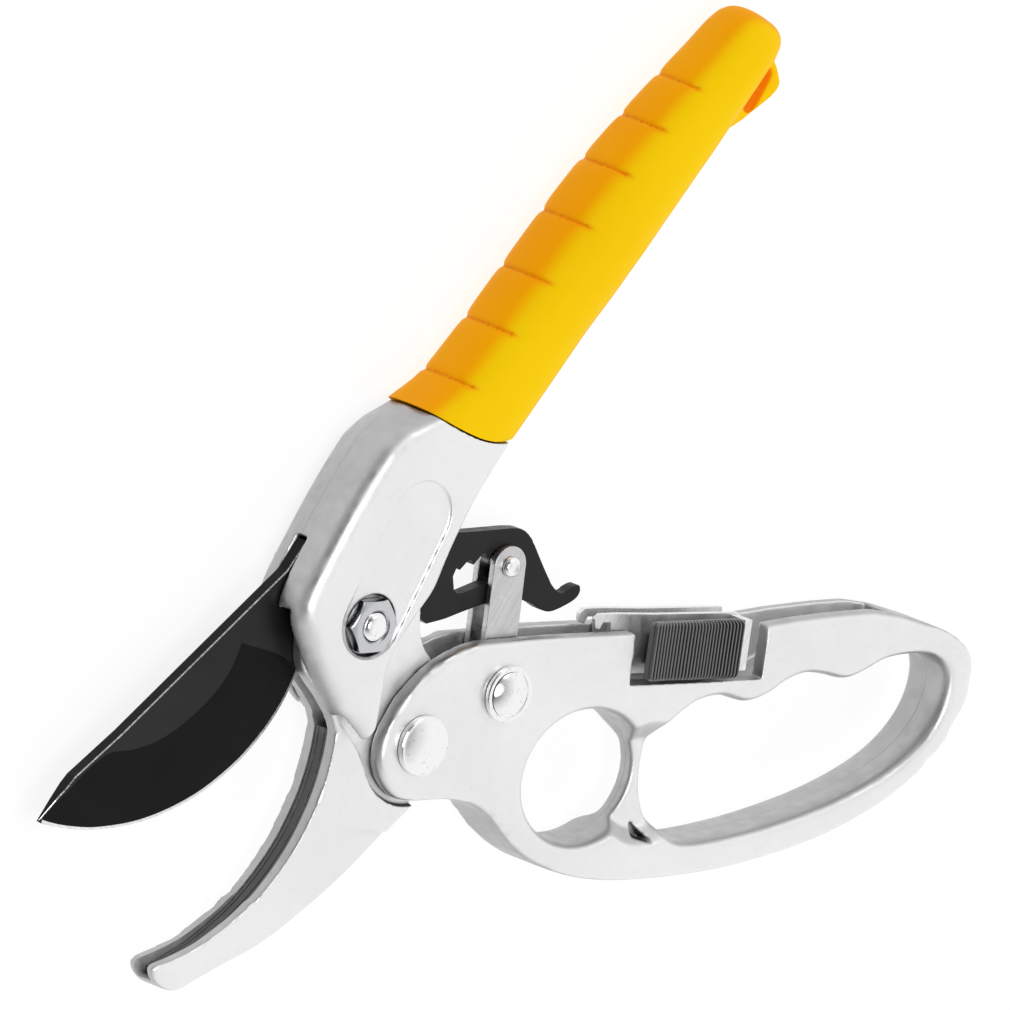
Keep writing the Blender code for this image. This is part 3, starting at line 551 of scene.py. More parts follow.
def ground_edge(name):
    """Bare ground steel of a cutting edge, with grinding lines across it."""
    n = Nodes(name, (0.88, 0.88, 0.89), 1, 0.24)
    lines = n.noise(1, 3, 0.6, n.stretched((2600, 160, 400), 35))
    n.colour(n.mix(n.spread(lines), (0.70, 0.70, 0.71), (0.95, 0.95, 0.96)))
    n.roughness(lines, 0.18, 0.34)
    return n.material


def floor_surface(name):
    """Pale studio paper."""
    n = Nodes(name, (0.16, 0.16, 0.16), 0, 0.85)
    n.shader.inputs["Emission Color"].default_value = (1, 1, 1, 1)
    n.shader.inputs["Emission Strength"].default_value = 0.86
    n.colour(n.mix(n.spread(n.noise(14, 4)), (0.155, 0.155, 0.16), (0.165, 0.165, 0.165)))
    n.bump(n.noise(900, 3), 0.05, 0.2)
    return n.material


CAST = cast_metal("cast_silver_look")
ARM_STEEL = brushed_steel("arm_steel_look", (0.66, 0.66, 0.67), 0.30, 30.7)
PLATE_STEEL = brushed_steel("plate_steel_look", (0.90, 0.90, 0.91), 0.42, -BAR_ANGLE, 0.08)
BRIGHT = polished_steel("bright_steel_look", (0.94, 0.94, 0.95), 0.14)
SPRING = polished_steel("spring_steel_look", (0.42, 0.42, 0.43), 0.28)
ZINC = polished_steel("zinc_look", (0.60, 0.61, 0.63), 0.18)
COATED = black_coating("coated_steel_look")
COATED_DARK = black_coating("coated_ground_look", (0.003, 0.003, 0.0033), 0.30, 0.10)
SHADED_SPINE = black_coating("spine_shade_look", (0.003, 0.003, 0.0033), 0.40, 0.12)
GROUND = ground_edge("ground_edge_look")
RUBBER = yellow_rubber("yellow_grip_look")
NYLON = black_plastic("black_plastic_look", (0.010, 0.010, 0.011), (0.07, 0.07, 0.075))
RIBBED = black_plastic("ribbed_plastic_look", (0.012, 0.012, 0.013), (0.15, 0.15, 0.155))


# ---- shared curves -----------------------------------------------------------------------------
def cutting_edge():
    return [(-13, 3.2), (-17, 2.5), (-22, 2.2), (-27.5, 2.7), (-33.8, 4.2), (-39, 6.3),
            (-43.6, 8.7), (-47.8, 11.6), (-51.6, 14.8), (-54.7, 17.9), (-57.2, 20.9), (-60, 24.9),
            (-62.6, 29.2), (-65.4, 35.4), (-67.1, 40.6)]


def ground_root():
    """Inner border of the ground bevel, from the heel up to its corner."""
    return [(-13.4, 4), (-14, 11), (-16.4, 20.2)]


def ground_back():
    """The border's other side, from the corner along the blade to its tip."""
    return [(-16.4, 20.2), (-21.5, 19.3), (-27, 19.8), (-33, 21.8), (-38.2, 24.4), (-42.3, 27.5),
            (-45.6, 31.2), (-48.4, 35.4), (-51.5, 37.4), (-55.5, 39), (-58.8, 39.9), (-62, 40.6),
            (-65.6, 41.3)]


def anvil_line(gap):
    """The cutting edge as it lies on the jaw when shut, moved into the jaw by the gap."""
    shut = turn(smooth(cutting_edge()[1:]), JAW_CLOSING)
    return inset(shut, gap, closed=False)


def rim_line():
    """Where casting and grip meet, from the top side to the bottom side."""
    return smooth([(39.6, 18), (39.9, 12), (40.2, 7), (40.7, 3), (41.4, -0.8), (42.6, -4.4),
                   (44.4, -7.8), (46.6, -11), (48.5, -14)])


# ---- upper handle ------------------------------------------------------------------------------
def body_outline():
    top = [(29.6, 19.5), (22, 19.95), (14, 19.95), (6, 19.6), (-1.5, 19.1)]
    mouth = [(-5.4, 18.2), (-8.8, 15.9), (-12, 11), (-14.8, 5.4), (-17, 0.2), (-18.5, -3.8),
             (-18.9, -7.6), (-19.6, -11.2), (-20.3, -14)]
    nose = [(-19.6, -16.1), (-16.6, -15.7), (-11.8, -13.2)]
    bottom = [(-6, -10.6), (0, -9.7), (5, -9.9), (12.5, -10.8), (18.3, -9.9), (24.2, -9.1),
              (34, -8.5), (52, -9.6)]
    shoulder = [(52, 8.2), (46, 9.4), (42, 11.2), (38.8, 13.8), (34.6, 17.3)]
    return smooth(top) + smooth(mouth) + nose + smooth(bottom) + shoulder


def body_levels():
    """Outlines from back to front: drafted both ways, the edges of top side and mouth rounded."""
    rounding = ((-1, 1.6, 5, 2.2), (-0.92, 1.25, 3.5, 1.5), (-0.79, 1, 2, 0.8),
                (-0.6, 0.8, 0.7, 0.2), (-0.3, 0.4, 0, 0), (0, 0, 0, 0),
                (0.55, 0.7, 0, 0.1), (0.72, 0.9, 0, 0.5), (0.87, 1.1, 0.5, 1.1),
                (0.94, 1.25, 1, 1.7), (1, 1.6, 2, 2.2))
    levels = []
    for share, draft, drop, pull in rounding:
        outline = []
        for x, y in inset(body_outline(), draft):
            near_top = min(max((y - 6) / 10, 0), 1)
            near_mouth = min(max((-3 - x) / 6, 0), 1)
            outline.append((x + pull * near_mouth, y - drop * near_top, share * BODY_Z))
        levels.append(outline)
    return levels


def core_stations():
    """Tongue of the casting inside the grip: (x, middle, half width, half thickness)."""
    return [(36, 3, 8, 5.6), (50, -1.5, 7.6, 5.6), (70, -5, 7.2, 5.2),
            (95, -8.7, 6.6, 4.8), (122, -14, 5, 4)]


def beam(name, stations, grow, corner=2):
    """An eight-sided bar along x through the stations."""
    sections = []
    for x, middle, half, thick in stations:
        h, t = half + grow, thick + grow
        around = [(h, corner - t), (h, t - corner), (h - corner, t), (corner - h, t),
                  (-h, t - corner), (-h, corner - t), (corner - h, -t), (h - corner, -t)]
        sections.append([(x, middle + y, z) for y, z in around])
    return loft(name, sections)


def upper_casting():
    body = loft("body_casting", body_levels())
    soften(body, 0.45, 12)
    softened = max(v.co.z for v in body.data.vertices) * 1000
    body.data.transform(Matrix.Scale((BODY_Z + 0.02) / softened, 4, (0, 0, 1)))
    beyond = rim_line() + [(70, -14), (70, 18)]
    cavity = [(-34, -34), (31, -34), (31, -6), (24, 3), (15, 9), (9, 14.2),
              (-2, 14.2), (-5, 15.6), (-12, 22), (-34, 24)]
    skirt = [(-34, -34), (10, -34), (10, -8.4), (-1, -7.4), (-8, -6.2), (-34, -6.2)]
    blade_slot = [(-34, 5), (7.6, 5), (7.6, 24), (-34, 34)]
    cut(body, through(beyond))
    join(body, beam("core", core_stations(), 0))
    cut(body,
        slab(cavity, CAVITY_Z),
        slab(skirt, SKIRT_Z),
        slab(blade_slot, BLADE_Z + GAP),
        plate("nut_recess", stadium((0.5, 0.5), (22.4, 2.7), 7.35), RECESS_Z, CLEAR),
        hole(BOLT_R + 0.25, MAIN),
        hole(NUT_R + 0.4, MAIN, low=NUT_Z[0] - GAP),
        hole(HEAD_R + 0.4, MAIN, high=-SKIRT_Z + 0.5),
        hole(PIN_R + GAP, RATCHET, high=SKIRT_Z + 0.2),
        hole(PIN_R + GAP, BLADE_PIN, high=SKIRT_Z + 0.2))
    soften(body, 0.3, 3)
    thin_out(body, 0.35)
    dress(body, "upper_handle", "cast_silver", CAST, "upper_casting", angle=60, weighted=False)


def grip_stations():
    """(x, middle, half width, half thickness, squareness)"""
    return [(36, 3.2, 12.2, 8.9, 3.4), (41, 1.4, 11.4, 8.9, 3.2), (46, -0.6, 10.9, 8.9, 2.9),
            (52, -1.8, 10.6, 8.9, 2.7), (60, -3, 10.5, 8.8, 2.6), (70, -4.2, 10.5, 8.8, 2.5),
            (80, -5.7, 10.6, 8.8, 2.5), (90, -7.1, 10.6, 8.7, 2.5), (98, -8.3, 10.3, 8.6, 2.5),
            (106, -9.8, 9.8, 8.3, 2.5), (114, -11.4, 9.3, 7.9, 2.5), (122, -13, 8.6, 7.5, 2.5),
            (130, -14.7, 7.9, 7, 2.5), (135.5, -15.7, 7.4, 6.6, 2.6), (138.6, -16.2, 6.7, 6, 2.6),
            (140.4, -16.5, 5.5, 4.9, 2.5), (141.2, -16.7, 3.9, 3.4, 2.3)]


def grip_at(x):
    """Middle, half width, half thickness and squareness of the grip at any x."""
    stations = grip_stations()
    after = next((i for i, s in enumerate(stations) if i > 0 and x <= s[0]), len(stations) - 1)
    a, b = stations[after - 1], stations[after]
    t = min(max((x - a[0]) / (b[0] - a[0]), 0), 1)
    return [a[k] + (b[k] - a[k]) * t for k in (1, 2, 3, 4)]


def grip_section(x, steps=120):
    """One section of the grip, pressed in where it crosses a finger dip."""
    middle, half, thick, power = grip_at(x)
    section = []
    for k in range(steps):
        angle = 2 * math.pi * k / steps
        c, s = math.cos(angle), math.sin(angle)
        lean = 1.5 * (1 - c)
        side = min(1, max(0, (c + 0.05) / 0.35))
        dip = side * sum(math.exp(-((x - lean - d) / 1.5) ** 2) for d in GRIP_DIPS)
        y = math.copysign(abs(c) ** (2 / power), c) * half * (1 - 0.028 * dip)
        z = math.copysign(abs(s) ** (2 / power), s) * thick * (1 - 0.010 * dip)
        section.append((x, middle + y, z))
    return section


def press_grooves(obj):
    """Fine grooves at the foot of the finger dips, across the top side and over its two ridges."""
    for vertex in obj.data.vertices:
        x, y, z = vertex.co * 1000
        middle, half, _, _ = grip_at(x)
        up = (y - middle) / half
        nearest = min(GRIP_DIPS, key=lambda d: abs(x - d))
        across = (x - nearest - 1.5 * (1 - min(up, 1))) / 0.5
        if up > 0.55 and abs(across) < 3:
            depth = 0.42 * math.exp(-across * across) * min((up - 0.55) / 0.18, 1)
            vertex.co -= vertex.normal * depth * 0.001


def grip():
    xs = [36 + 0.5 * i for i in range(203)] + [138, 138.8, 139.6, 140.1, 140.6, 141, 141.2]
    sleeve = loft("grip_cover", [grip_section(x) for x in xs])
    tab = smooth([(116.6, -20.2), (119.6, -22.4), (122.5, -24.3), (126.5, -26.4), (129.8, -28),
                  (131.8, -28.7), (133.3, -28.4), (134.4, -27.1), (136, -24.6), (137.2, -21.8)])
    tab += [(136, -19), (118, -18.6)]
    join(sleeve, plate("tab", tab, -2.3, 2.3, 0.5))
    cut(sleeve, through(stadium((126.2, -24.2), (132.8, -23.9), 1.5)))
    soften(sleeve, 0.33, 6)
    press_grooves(sleeve)
    before = [(20, 18), (20, -14)] + [(x + 0.3, y) for x, y in reversed(rim_line())]
    room = [(30, 5, 8, 5.6)] + core_stations() + [(122.3, -14.1, 5, 4)]
    cut(sleeve, through(before), beam("room", room, 0.3))
    thin_out(sleeve, 0.45)
    dress(sleeve, "upper_handle", "yellow_grip", RUBBER, "grip_sleeve", angle=50, weighted=False)


def blade_levels():
    """Sections from the back face to the front, and how many of their points lie on the edge."""
    ground = smooth(ground_root(), 8)[:-1] + smooth(ground_back(), 8)
    edge = smooth(cutting_edge(), 8)
    near = []
    for (gx, gy), (ex, ey) in zip(ground, edge):
        share = min(0.5, 0.75 / max(math.hypot(gx - ex, gy - ey), 0.01))
        near.append((ex + (gx - ex) * share, ey + (gy - ey) * share))
    spine = [(-67.2, 41.9), (-62, 41.2), (-56.2, 40.2), (-44.1, 35.2), (0, 19.25), (6.9, 18.7),
             (7.3, 14), (7.6, 6)]
    rest = spine + arc(MAIN, 7.9, 0, -150, 30) + [(-10.4, 1.6)]
    levels = ((ground, -BLADE_Z), (near, -0.3), (edge, -0.05), (edge, 0.05), (near, 0.3),
              (ground, BLADE_Z))
    return [[(x, y, z) for x, y in front + rest] for front, z in levels], len(edge)


def slim_point(bm):
    """The blade's last stretch thins out evenly towards its tip."""
    bmesh.ops.bisect_plane(bm, geom=bm.verts[:] + bm.edges[:] + bm.faces[:], dist=1e-7,
                           plane_co=metres(POINT_START, 0, 0), plane_no=(1, 0, 0))
    for vertex in bm.verts:
        beyond = max(POINT_START - vertex.co.x * 1000, 0)
        vertex.co.z *= 1 - 0.9 * beyond / POINT_LENGTH


def blade():
    """The blade with its four looks: coated flats, ground bevels, bright edges and, as painted shade, a
    darker coating on the spine.
    """
    sections, count = blade_levels()
    knife = loft("curved_blade", sections)
    blade_looks = (COATED, COATED_DARK, GROUND, SHADED_SPINE)
    bevel, bright, spine = 1, 2, 3
    for material in blade_looks:
        knife.data.materials.append(material)
    around = len(sections[0])
    for face in knife.data.polygons:
        if len(face.vertices) > 4:
            continue
        column = min(v % around for v in face.vertices)
        rows = sorted(v // around for v in face.vertices)
        if column < count - 1 and rows[-1] - rows[0] == 1:
            face.material_index = bevel if (rows[0], rows[-1]) in ((0, 1), (4, 5)) else bright
    bm = bmesh.new()
    bm.from_mesh(knife.data)
    # Painted shade: the spine's upright faces take the darker copy of the coating.
    for face in bm.faces:
        if abs(face.normal.z) < 0.05 and face.calc_center_median().y > SPINE_Y:
            face.material_index = spine
    flat = BLADE_Z * 0.001 - 1e-7
    rims = [e for e in bm.edges
            if all(abs(v.co.z) > flat and v.co.y > SPINE_Y for v in e.verts)
            and any(face.material_index == spine for face in e.link_faces)]
    bevelled = bmesh.ops.bevel(bm, geom=rims, offset=0.00020, segments=1, profile=0.5,
                               affect="EDGES", clamp_overlap=False)
    for face in bevelled["faces"]:
        face.material_index = bright
    slim_point(bm)
    bm.to_mesh(knife.data)
    bm.free()
    cut(knife, hole(BUSH_R[1] + 0.2, MAIN), hole(PIN_R + GAP, BLADE_PIN))
    dress(knife, "upper_handle", "black_steel", COATED, "cutting_blade", angle=12)


def nut_and_bolt():
    """Chamfered nut on the end of the main bolt, whose slotted head lies at the back."""
    seat = -SKIRT_Z + 0.5
    tip = [(1.3, 10.6), (1.9, 10.5), (2.25, 10.35), (2.5, 10.05), (2.5, 9.75)]
    thread = []
    for k in range(8):
        z = 9.7 - 0.4 * k
        thread += [(BOLT_R, z), (BOLT_R - 0.22, z - 0.2)]
    head = [(BOLT_R, 6.4), (BOLT_R, seat - GAP), (HEAD_R, seat - GAP), (HEAD_R, -8), (5.9, -8.5),
            (5.2, -8.75), (3, -8.9)]
    bolt = turned("main_bolt", tip + thread + head, MAIN, 128)
    groove = [(-7, -0.6), (7, -0.6), (7, 0.6), (-7, 0.6)]
    cut(bolt, plate("driver", groove, -CLEAR, -7.7))
    dress(bolt, "upper_handle", "steel", BRIGHT, "pivot_bolt")

    flat = NUT_R * math.cos(math.pi / 6)
    low, high = NUT_Z
    nut = plate("hex_nut", arc(MAIN, NUT_R, -58.5, 241.5, 5), low, high)
    slope = 0.55 * (NUT_R - flat + 0.3)
    crown = turned("crown", [(flat - 1, high), (flat - 0.6, high - 0.08), (flat - 0.3, high - 0.08),
                             (NUT_R + 0.01, high - 0.08 - slope), (NUT_R + 0.01, low + slope),
                             (flat - 0.3, low)], MAIN, 128)
    combine(nut, [crown], "INTERSECT")
    countersink = turned("sink", [(BOLT_R + 0.85, high + 0.2), (BOLT_R + 0.25, high - 0.45),
                                  (BOLT_R + 0.25, low - 1)], MAIN)
    cut(nut, countersink)
    dress(nut, "upper_handle", "zinc", ZINC, "pivot_nut")


# ---- ratchet plate -----------------------------------------------------------------------------
def slot_outline():
    """Toothed slot; s runs from the rest position of the pin into the plate, n towards the teeth."""
    end, floor, tooth, notch = SLOT_LENGTH, -2.15, 2.6, 4
    local = [(end + 1.9, -0.8), (end + 1.2, -1.7), (end, floor), (0, floor), (-1.4, -1.6), (-2.1, 0),
             (-1.6, 1.6), (-0.6, tooth)]
    for k in range(3):
        s = 0.5 + TOOTH_PITCH * k
        local += [(s, tooth), (s + 0.25, notch - 0.6), (s + 0.5, notch - 0.15), (s + 0.9, notch),
                  (s + 1.3, notch - 0.2)]
    local += [(end, 2.7), (end + 0.7, 3.4), (end + 1.8, 2)]
    ux, uy = -0.730, 0.683
    return [(LINK_TOP[0] + ux * s + uy * n, LINK_TOP[1] + uy * s - ux * n) for s, n in local]


def ratchet_plate():
    toe = [(9, -8), (8.2, -13), (8.1, -19)]
    tail = [(10.4, -21.8), (16.1, -27.4), (20, -32), (22.6, -36.5), (23.5, -40), (23.7, -43.2),
            (24.9, -45.9), (28.8, -49.1), (30.9, -49.6), (32, -48.6), (31, -47.3), (28.9, -45.9),
            (28.6, -43.5), (29.6, -40.3), (32, -35.1), (33.4, -32.2), (34, -29.9), (33.5, -27.1),
            (30.2, -21.5), (26.3, -15), (23, -8.5)]
    outline = arc(RATCHET, 5.2, 20, 185, 40) + smooth(toe) + smooth(tail)
    body = plate("toothed_plate", outline, -RATCHET_Z, RATCHET_Z, 0.22)
    cut(body, through(slot_outline()), hole(PIN_R + 0.2, RATCHET))
    dress(body, "ratchet", "black_steel", COATED, "ratchet_plate")


def coil(centre, radius, low, high, turns, first, steps=40):
    """A rising spiral of (x, y, z) points, from the direction first in degrees."""
    total = int(turns * steps)
    points = arc(centre, radius, first, first + 360 * turns, total)
    return [(x, y, low + (high - low) * i / total) for i, (x, y) in enumerate(points)]


def springs():
    path = [(23, -2.2, 2.2)] + coil(RATCHET, 2.5, 2.2, 4.2, 2.75, 90)
    path += [(RATCHET[0] + 2.6, -10.5, 4.2)]
    pawl = wire("pawl_spring", path, 0.3)
    dress(pawl, "upper_handle", "steel", SPRING, "ratchet_spring")
    start = bar([(33, 9.4)])[0]
    path = [(*start, -1)] + coil(LINK_FOOT, 4, -1, 1, 2.1, -80) + [(15.4, -32.1, 1)]
    opening = wire("opening_spring", path, 0.4)
    dress(opening, "link", "steel", SPRING, "return_spring")


# ---- anvil jaw ---------------------------------------------------------------------------------
def jaw_outline():
    crown = arc(MAIN, 10.6, -15, 118, 40)
    crown += smooth([(-9, 10), (-13.2, 6.6), (-14.9, 3), (-16.3, -2.2), (-17.9, -6.8)])
    rails = anvil_line(0)[5:40]
    rails += smooth([(-56.4, -12.8), (-60.2, -11.4), (-64.5, -9.2), (-68.8, -6.7), (-73, -3.3),
                     (-76.6, 0.1)])
    tip = smooth([(-77.5, 0.5), (-78.7, -0.9), (-79.3, -3.4), (-79, -5.9), (-77.8, -8),
                  (-75.6, -9.8)])
    back = smooth([(-72.8, -11.9), (-69, -14.7), (-60.7, -21), (-50.8, -26), (-40.3, -30.4),
                   (-28.2, -34.2), (-21.8, -36.6)])
    tang = arc(HANDLE, 9, 234, 340, 24)
    tang += smooth([(-1.6, -27.4), (2.4, -23.8), (3.9, -19.8), (6.3, -16.6), (9.6, -13.9), (11.1, -10.8),
                    (10.7, -6.5)])
    return crown + rails + tip + back + tang


def slim_tip(obj):
    """The jaw is thinner towards its tip, and the nose itself is rounded."""
    for vertex in obj.data.vertices:
        x, y = vertex.co.x * 1000, vertex.co.y * 1000
        share = min(max((-30 - x) / 35, 0), 1)
        slim = 1 - 0.12 * share * share * (3 - 2 * share)
        nose = min(max((-72 - x + 0.35 * y) / 8.5, 0), 1)
        vertex.co.z *= slim * math.sqrt(1 - 0.45 * nose * nose)


def jaw():
    body = plate("jaw_casting", jaw_outline(), -JAW_Z, JAW_Z, 0.7)
    thin = (arc(HANDLE, 12.6, 262, 152, 40)
            + [(-21.4, -19.6), (-20.3, -17.4), (-18.9, -13.3), (-17.6, -9.4), (-9, -9.4), (-3, -9.7),
               (3, -9.2), (14, -7.6), (20, -8), (20, -46), (-14, -46)])
    relief = smooth([(-26, -40), (-29.6, -33.2), (-32.2, -27.4), (-34.6, -24.5), (-43.6, -23.1),
                     (-52.3, -20.4), (-62.8, -16.3), (-67.8, -13.3), (-72.2, -10.7), (-77, -8.6)])
    relief += [(-84, -12), (-60, -40)]
    fork = ([(-40, 24), (-40, -4), (-24, -6), (-20.6, -11.2), (-16.4, -9.8), (-12.6, -7.2)]
            + arc(MAIN, 8.9, 222, 292, 16) + [(6.4, -12), (6, -26), (22, -26), (22, 24)])
    groove = (anvil_line(-2.5)[3:] + [(-84, 5), (-84, 2), (-76.6, -4.6)]
              + list(reversed(anvil_line(3.1)[3:-5])))
    cut(body, *both_faces(thin, TANG_Z, CLEAR))
    soften(body, 0.3, 5)
    cut(body, *both_faces(relief, JAW_Z - 0.9, CLEAR))
    slim_tip(body)
    cut(body,
        slab(fork, FORK_GAP_Z),
        slab(groove, GROOVE_Z),
        hole(BUSH_R[1] + 0.2, MAIN),
        hole(RIVET_R + 0.25, HANDLE))
    thin_out(body, 0.5)
    dress(body, "jaw", "cast_silver", CAST, "anvil_jaw", weighted=False)


def insert():
    """Black strip in the jaw's groove, with two fine grooves along its face."""
    top, bottom = anvil_line(0.3)[5:-3], anvil_line(2.9)[5:-3]
    front = [(INSERT_Z, 1), (INSERT_Z, 0.12), (INSERT_Z - 0.12, 0), (1.05, 0), (0.9, 0.22),
             (0.75, 0)]
    across = front + [(-z, depth) for z, depth in reversed(front)]
    sections = []
    for i, ((tx, ty), (bx, by)) in enumerate(zip(top, bottom)):
        reach = math.hypot(bx - tx, by - ty)
        full = min(1, 0.5 + 0.08 * (len(top) - 1 - i))
        section = []
        for z, depth in across:
            share = full if depth == 1 else depth / reach
            section.append((tx + (bx - tx) * share, ty + (by - ty) * share, z))
        sections.append(section)
    strip = loft("anvil_strip", sections)
    dress(strip, "jaw", "black_plastic", NYLON, "anvil_insert")


# ---- lower handle ------------------------------------------------------------------------------
def handle_outline():
    head = [(12.1, 19.4), (7.3, 18.2), (2.6, 16.2), (-0.8, 14), (-4, 11), (-6.6, 7.9),
            (-8.5, 4.4), (-9.7, 1.3), (-10, -1.5), (-9.6, -4.2), (-8.3, -6.8), (-6.1, -9.2),
            (-3.8, -10.7), (-1.2, -11.3)]
    belly = [(2.6, -11.3), (7.7, -11.2), (11.6, -11.6), (15.5, -12.6), (18.9, -14.2), (21.8, -16.4),
             (24.8, -19.2), (29, -22.4), (34.7, -25.3), (42.7, -27.6), (49.2, -28.6), (56, -29),
             (68.2, -28.7), (80.6, -27.6), (92.7, -25.5), (104.5, -22.6), (114.5, -18.8),
             (121.4, -15.4), (127, -11.7), (131.3, -8), (135.3, -3.3), (137.3, 0), (138.8, 4.3),
             (139.7, 8.6), (139.2, 12.2), (137, 14.8), (134.3, 16.6), (131.2, 17.9), (127, 19.3)]
    top = [(119, 21.4), (112, 22.4), (104, 22.2), (92.6, 21.5), (84, 20.6), (60, 20.1),
           (30, 20)]
    return smooth(head + belly) + top


def loop_outline():
    return smooth([(122.3, 13.2), (116.6, 12.4), (111.9, 10.3), (107.2, 8.9), (101.9, 9.9),
                   (96.8, 10.4), (92, 9), (87.4, 6.4), (82.6, 5.2), (78.6, 6.1), (75, 6.7),
                   (69.8, 5.7), (65.4, 3.1), (62.4, 0.4), (61.1, -3.4), (61, -9), (62, -13.8),
                   (64.2, -18), (68.4, -21.4), (75, -21.9), (87, -20.3), (97, -18.2),
                   (107.5, -15.3), (117, -11.6), (124, -7.7), (129.2, -3), (132.2, 2.2),
                   (132.9, 7.6), (131.4, 11.2), (127.6, 13)], 4, closed=True)


def flared_hole(outline):
    """A hole whose rims flare towards both faces."""
    flare = [(HANDLE_Z + 0.4, -1.5), (HANDLE_Z - 0.2, -0.9), (HANDLE_Z - 1.4, -0.15),
             (HANDLE_Z - 2.6, 0)]
    steps = [(-z, grow) for z, grow in flare] + flare[::-1]
    return loft("flared", [[(x, y, z) for x, y in bar(inset(outline, grow))] for z, grow in steps])


def web_hollow(side):
    """Cutter that thins the web between finger hole and loop from one face, with sloping ends."""
    levels = [(WEB_Z, -10.5, 9, 8.5), (HANDLE_Z + 0.8, -9.8, 13, 13.5)]
    sections = []
    for z, middle, wide, long in levels:
        outline = [(60 + wide * x, middle + long * y) for x, y in arc((0, 0), 1, 0, 355, 71)]
        sections.append([(x, y, side * z) for x, y in bar(outline)])
    return loft("hollow", sections)


def lower_casting():
    body = plate("handle_casting", bar(handle_outline()), -HANDLE_Z, HANDLE_Z, 1.6, 4)
    finger = [(43.3 + 15.2 * x, -8.2 + 13.2 * y) for x, y in arc((0, 0), 1, 0, 355, 71)]
    cut(body, flared_hole(finger), flared_hole(loop_outline()), web_hollow(1), web_hollow(-1))
    soften(body, 0.4, 14)
    channel = ([(-18, -18), (4.7, -18)] + arc((0, 0), 9.7, -61, -12, 16)
               + [(10.7, 0.6), (13.6, 3), (25, 3.8), (31, 8.3), (62, 8.3), (70, 9.3),
                  (84.5, 9.3), (92, 12.6), (104, 13.2), (111, 13.6), (117, 16.4),
                  (117.5, 30), (-18, 30)])
    window = [(51, 10), (84.6, 10), (84.6, 30), (51, 30)]
    pocket = [(60, -18.2), (58.8, -21), (63.4, -22)]
    mark = bar([(59.9, -14.6)])[0]
    cut(body,
        slab(bar(channel), CHANNEL_Z),
        plate("window", bar(window), CHANNEL_Z - 0.4, CLEAR),
        plate("pocket", bar(pocket), WEB_Z - 0.8, CLEAR),
        hole(1.5, mark, low=WEB_Z - 0.2),
        hole(RIVET_R + 0.25, HANDLE),
        hole(LINK_RIVET_R + 0.25, LINK_FOOT))
    soften(body, 0.32, 3)
    thin_out(body, 0.35)
    dress(body, "lower_handle", "cast_silver", CAST, "lower_casting", angle=60, weighted=False)


def dome(radius, base, height, steps=16):
    """Profile of a low dome, from its top down to its rim."""
    sphere = (radius ** 2 + height ** 2) / (2 * height)
    full = math.asin(radius / sphere)
    angles = [full * (i + 1) / steps for i in range(steps)]
    return [(sphere * math.sin(a), base + height - sphere * (1 - math.cos(a))) for a in angles]


def underside(profile):
    """The same profile hung under the tool."""
    return [(radius, -z) for radius, z in reversed(profile)]


def rivets():
    face = HANDLE_Z + GAP
    washer = 0.6
    head = dome(5.2, face + 1.15, 1.05) + [(5.35, face + 1.12), (5.6, face + 1.15), (5.82, face + 1),
                                           (5.9, face + 0.75), (5.9, face), (RIVET_R, face)]
    tail = dome(4.9, face + washer + GAP, 1.3) + [(RIVET_R, face + washer + GAP)]
    large = turned("large_rivet", head + underside(tail), HANDLE, 128)
    dress(large, "lower_handle", "steel", BRIGHT, "handle_rivet")
    back = ring("rear_washer", RIVET_R + 0.2, 5.6, -face - washer, -face, HANDLE)
    dress(back, "lower_handle", "steel", ZINC, "handle_rivet_washer")
    collar = 1.1
    head = dome(4.4, face + collar + GAP + 0.1, 1.3) + [(4.5, face + collar + GAP),
                                                        (LINK_RIVET_R, face + collar + GAP)]
    tail = dome(4.4, face, 1.5) + [(LINK_RIVET_R, face)]
    small = turned("small_rivet", head + underside(tail), LINK_FOOT, 128)
    dress(small, "lower_handle", "steel", BRIGHT, "link_rivet")
    front = ring("front_collar", LINK_RIVET_R + 0.2, 5.5, face, face + collar, LINK_FOOT, 0.18)
    dress(front, "lower_handle", "steel", BRIGHT, "link_rivet_washer")


# ---- link --------------------------------------------------------------------------------------
def link():
    rise = math.degrees(math.atan2(LINK_TOP[1] - LINK_FOOT[1], LINK_TOP[0] - LINK_FOOT[0]))
    outline = arc(LINK_TOP, 4, rise - 86, rise + 86, 40)
    outline += arc(LINK_FOOT, 4.2, rise + 90, rise + 270, 40)
    for name, node, side in (("arm_front", "link_arm_front", 1), ("arm_back", "link_arm_back", -1)):
        low, high = sorted(side * z for z in ARM_Z)
        arm = plate(name, outline, low, high, 0.18)
        cut(arm, hole(LINK_RIVET_R + 0.25, LINK_FOOT), hole(PIN_R + GAP, LINK_TOP))
        dress(arm, "link", "steel", ARM_STEEL, node)
    half = ARM_Z[1] + GAP
    head = [(0.9, half + 0.75), (1.2, half + 0.95), (1.5, half + 1), (1.8, half + 0.8),
            (2, half + 0.45), (2, half), (PIN_R, half)]
    pin = turned("slot_pin", head + underside(head), LINK_TOP)
    dress(pin, "link", "steel", BRIGHT, "link_pin")


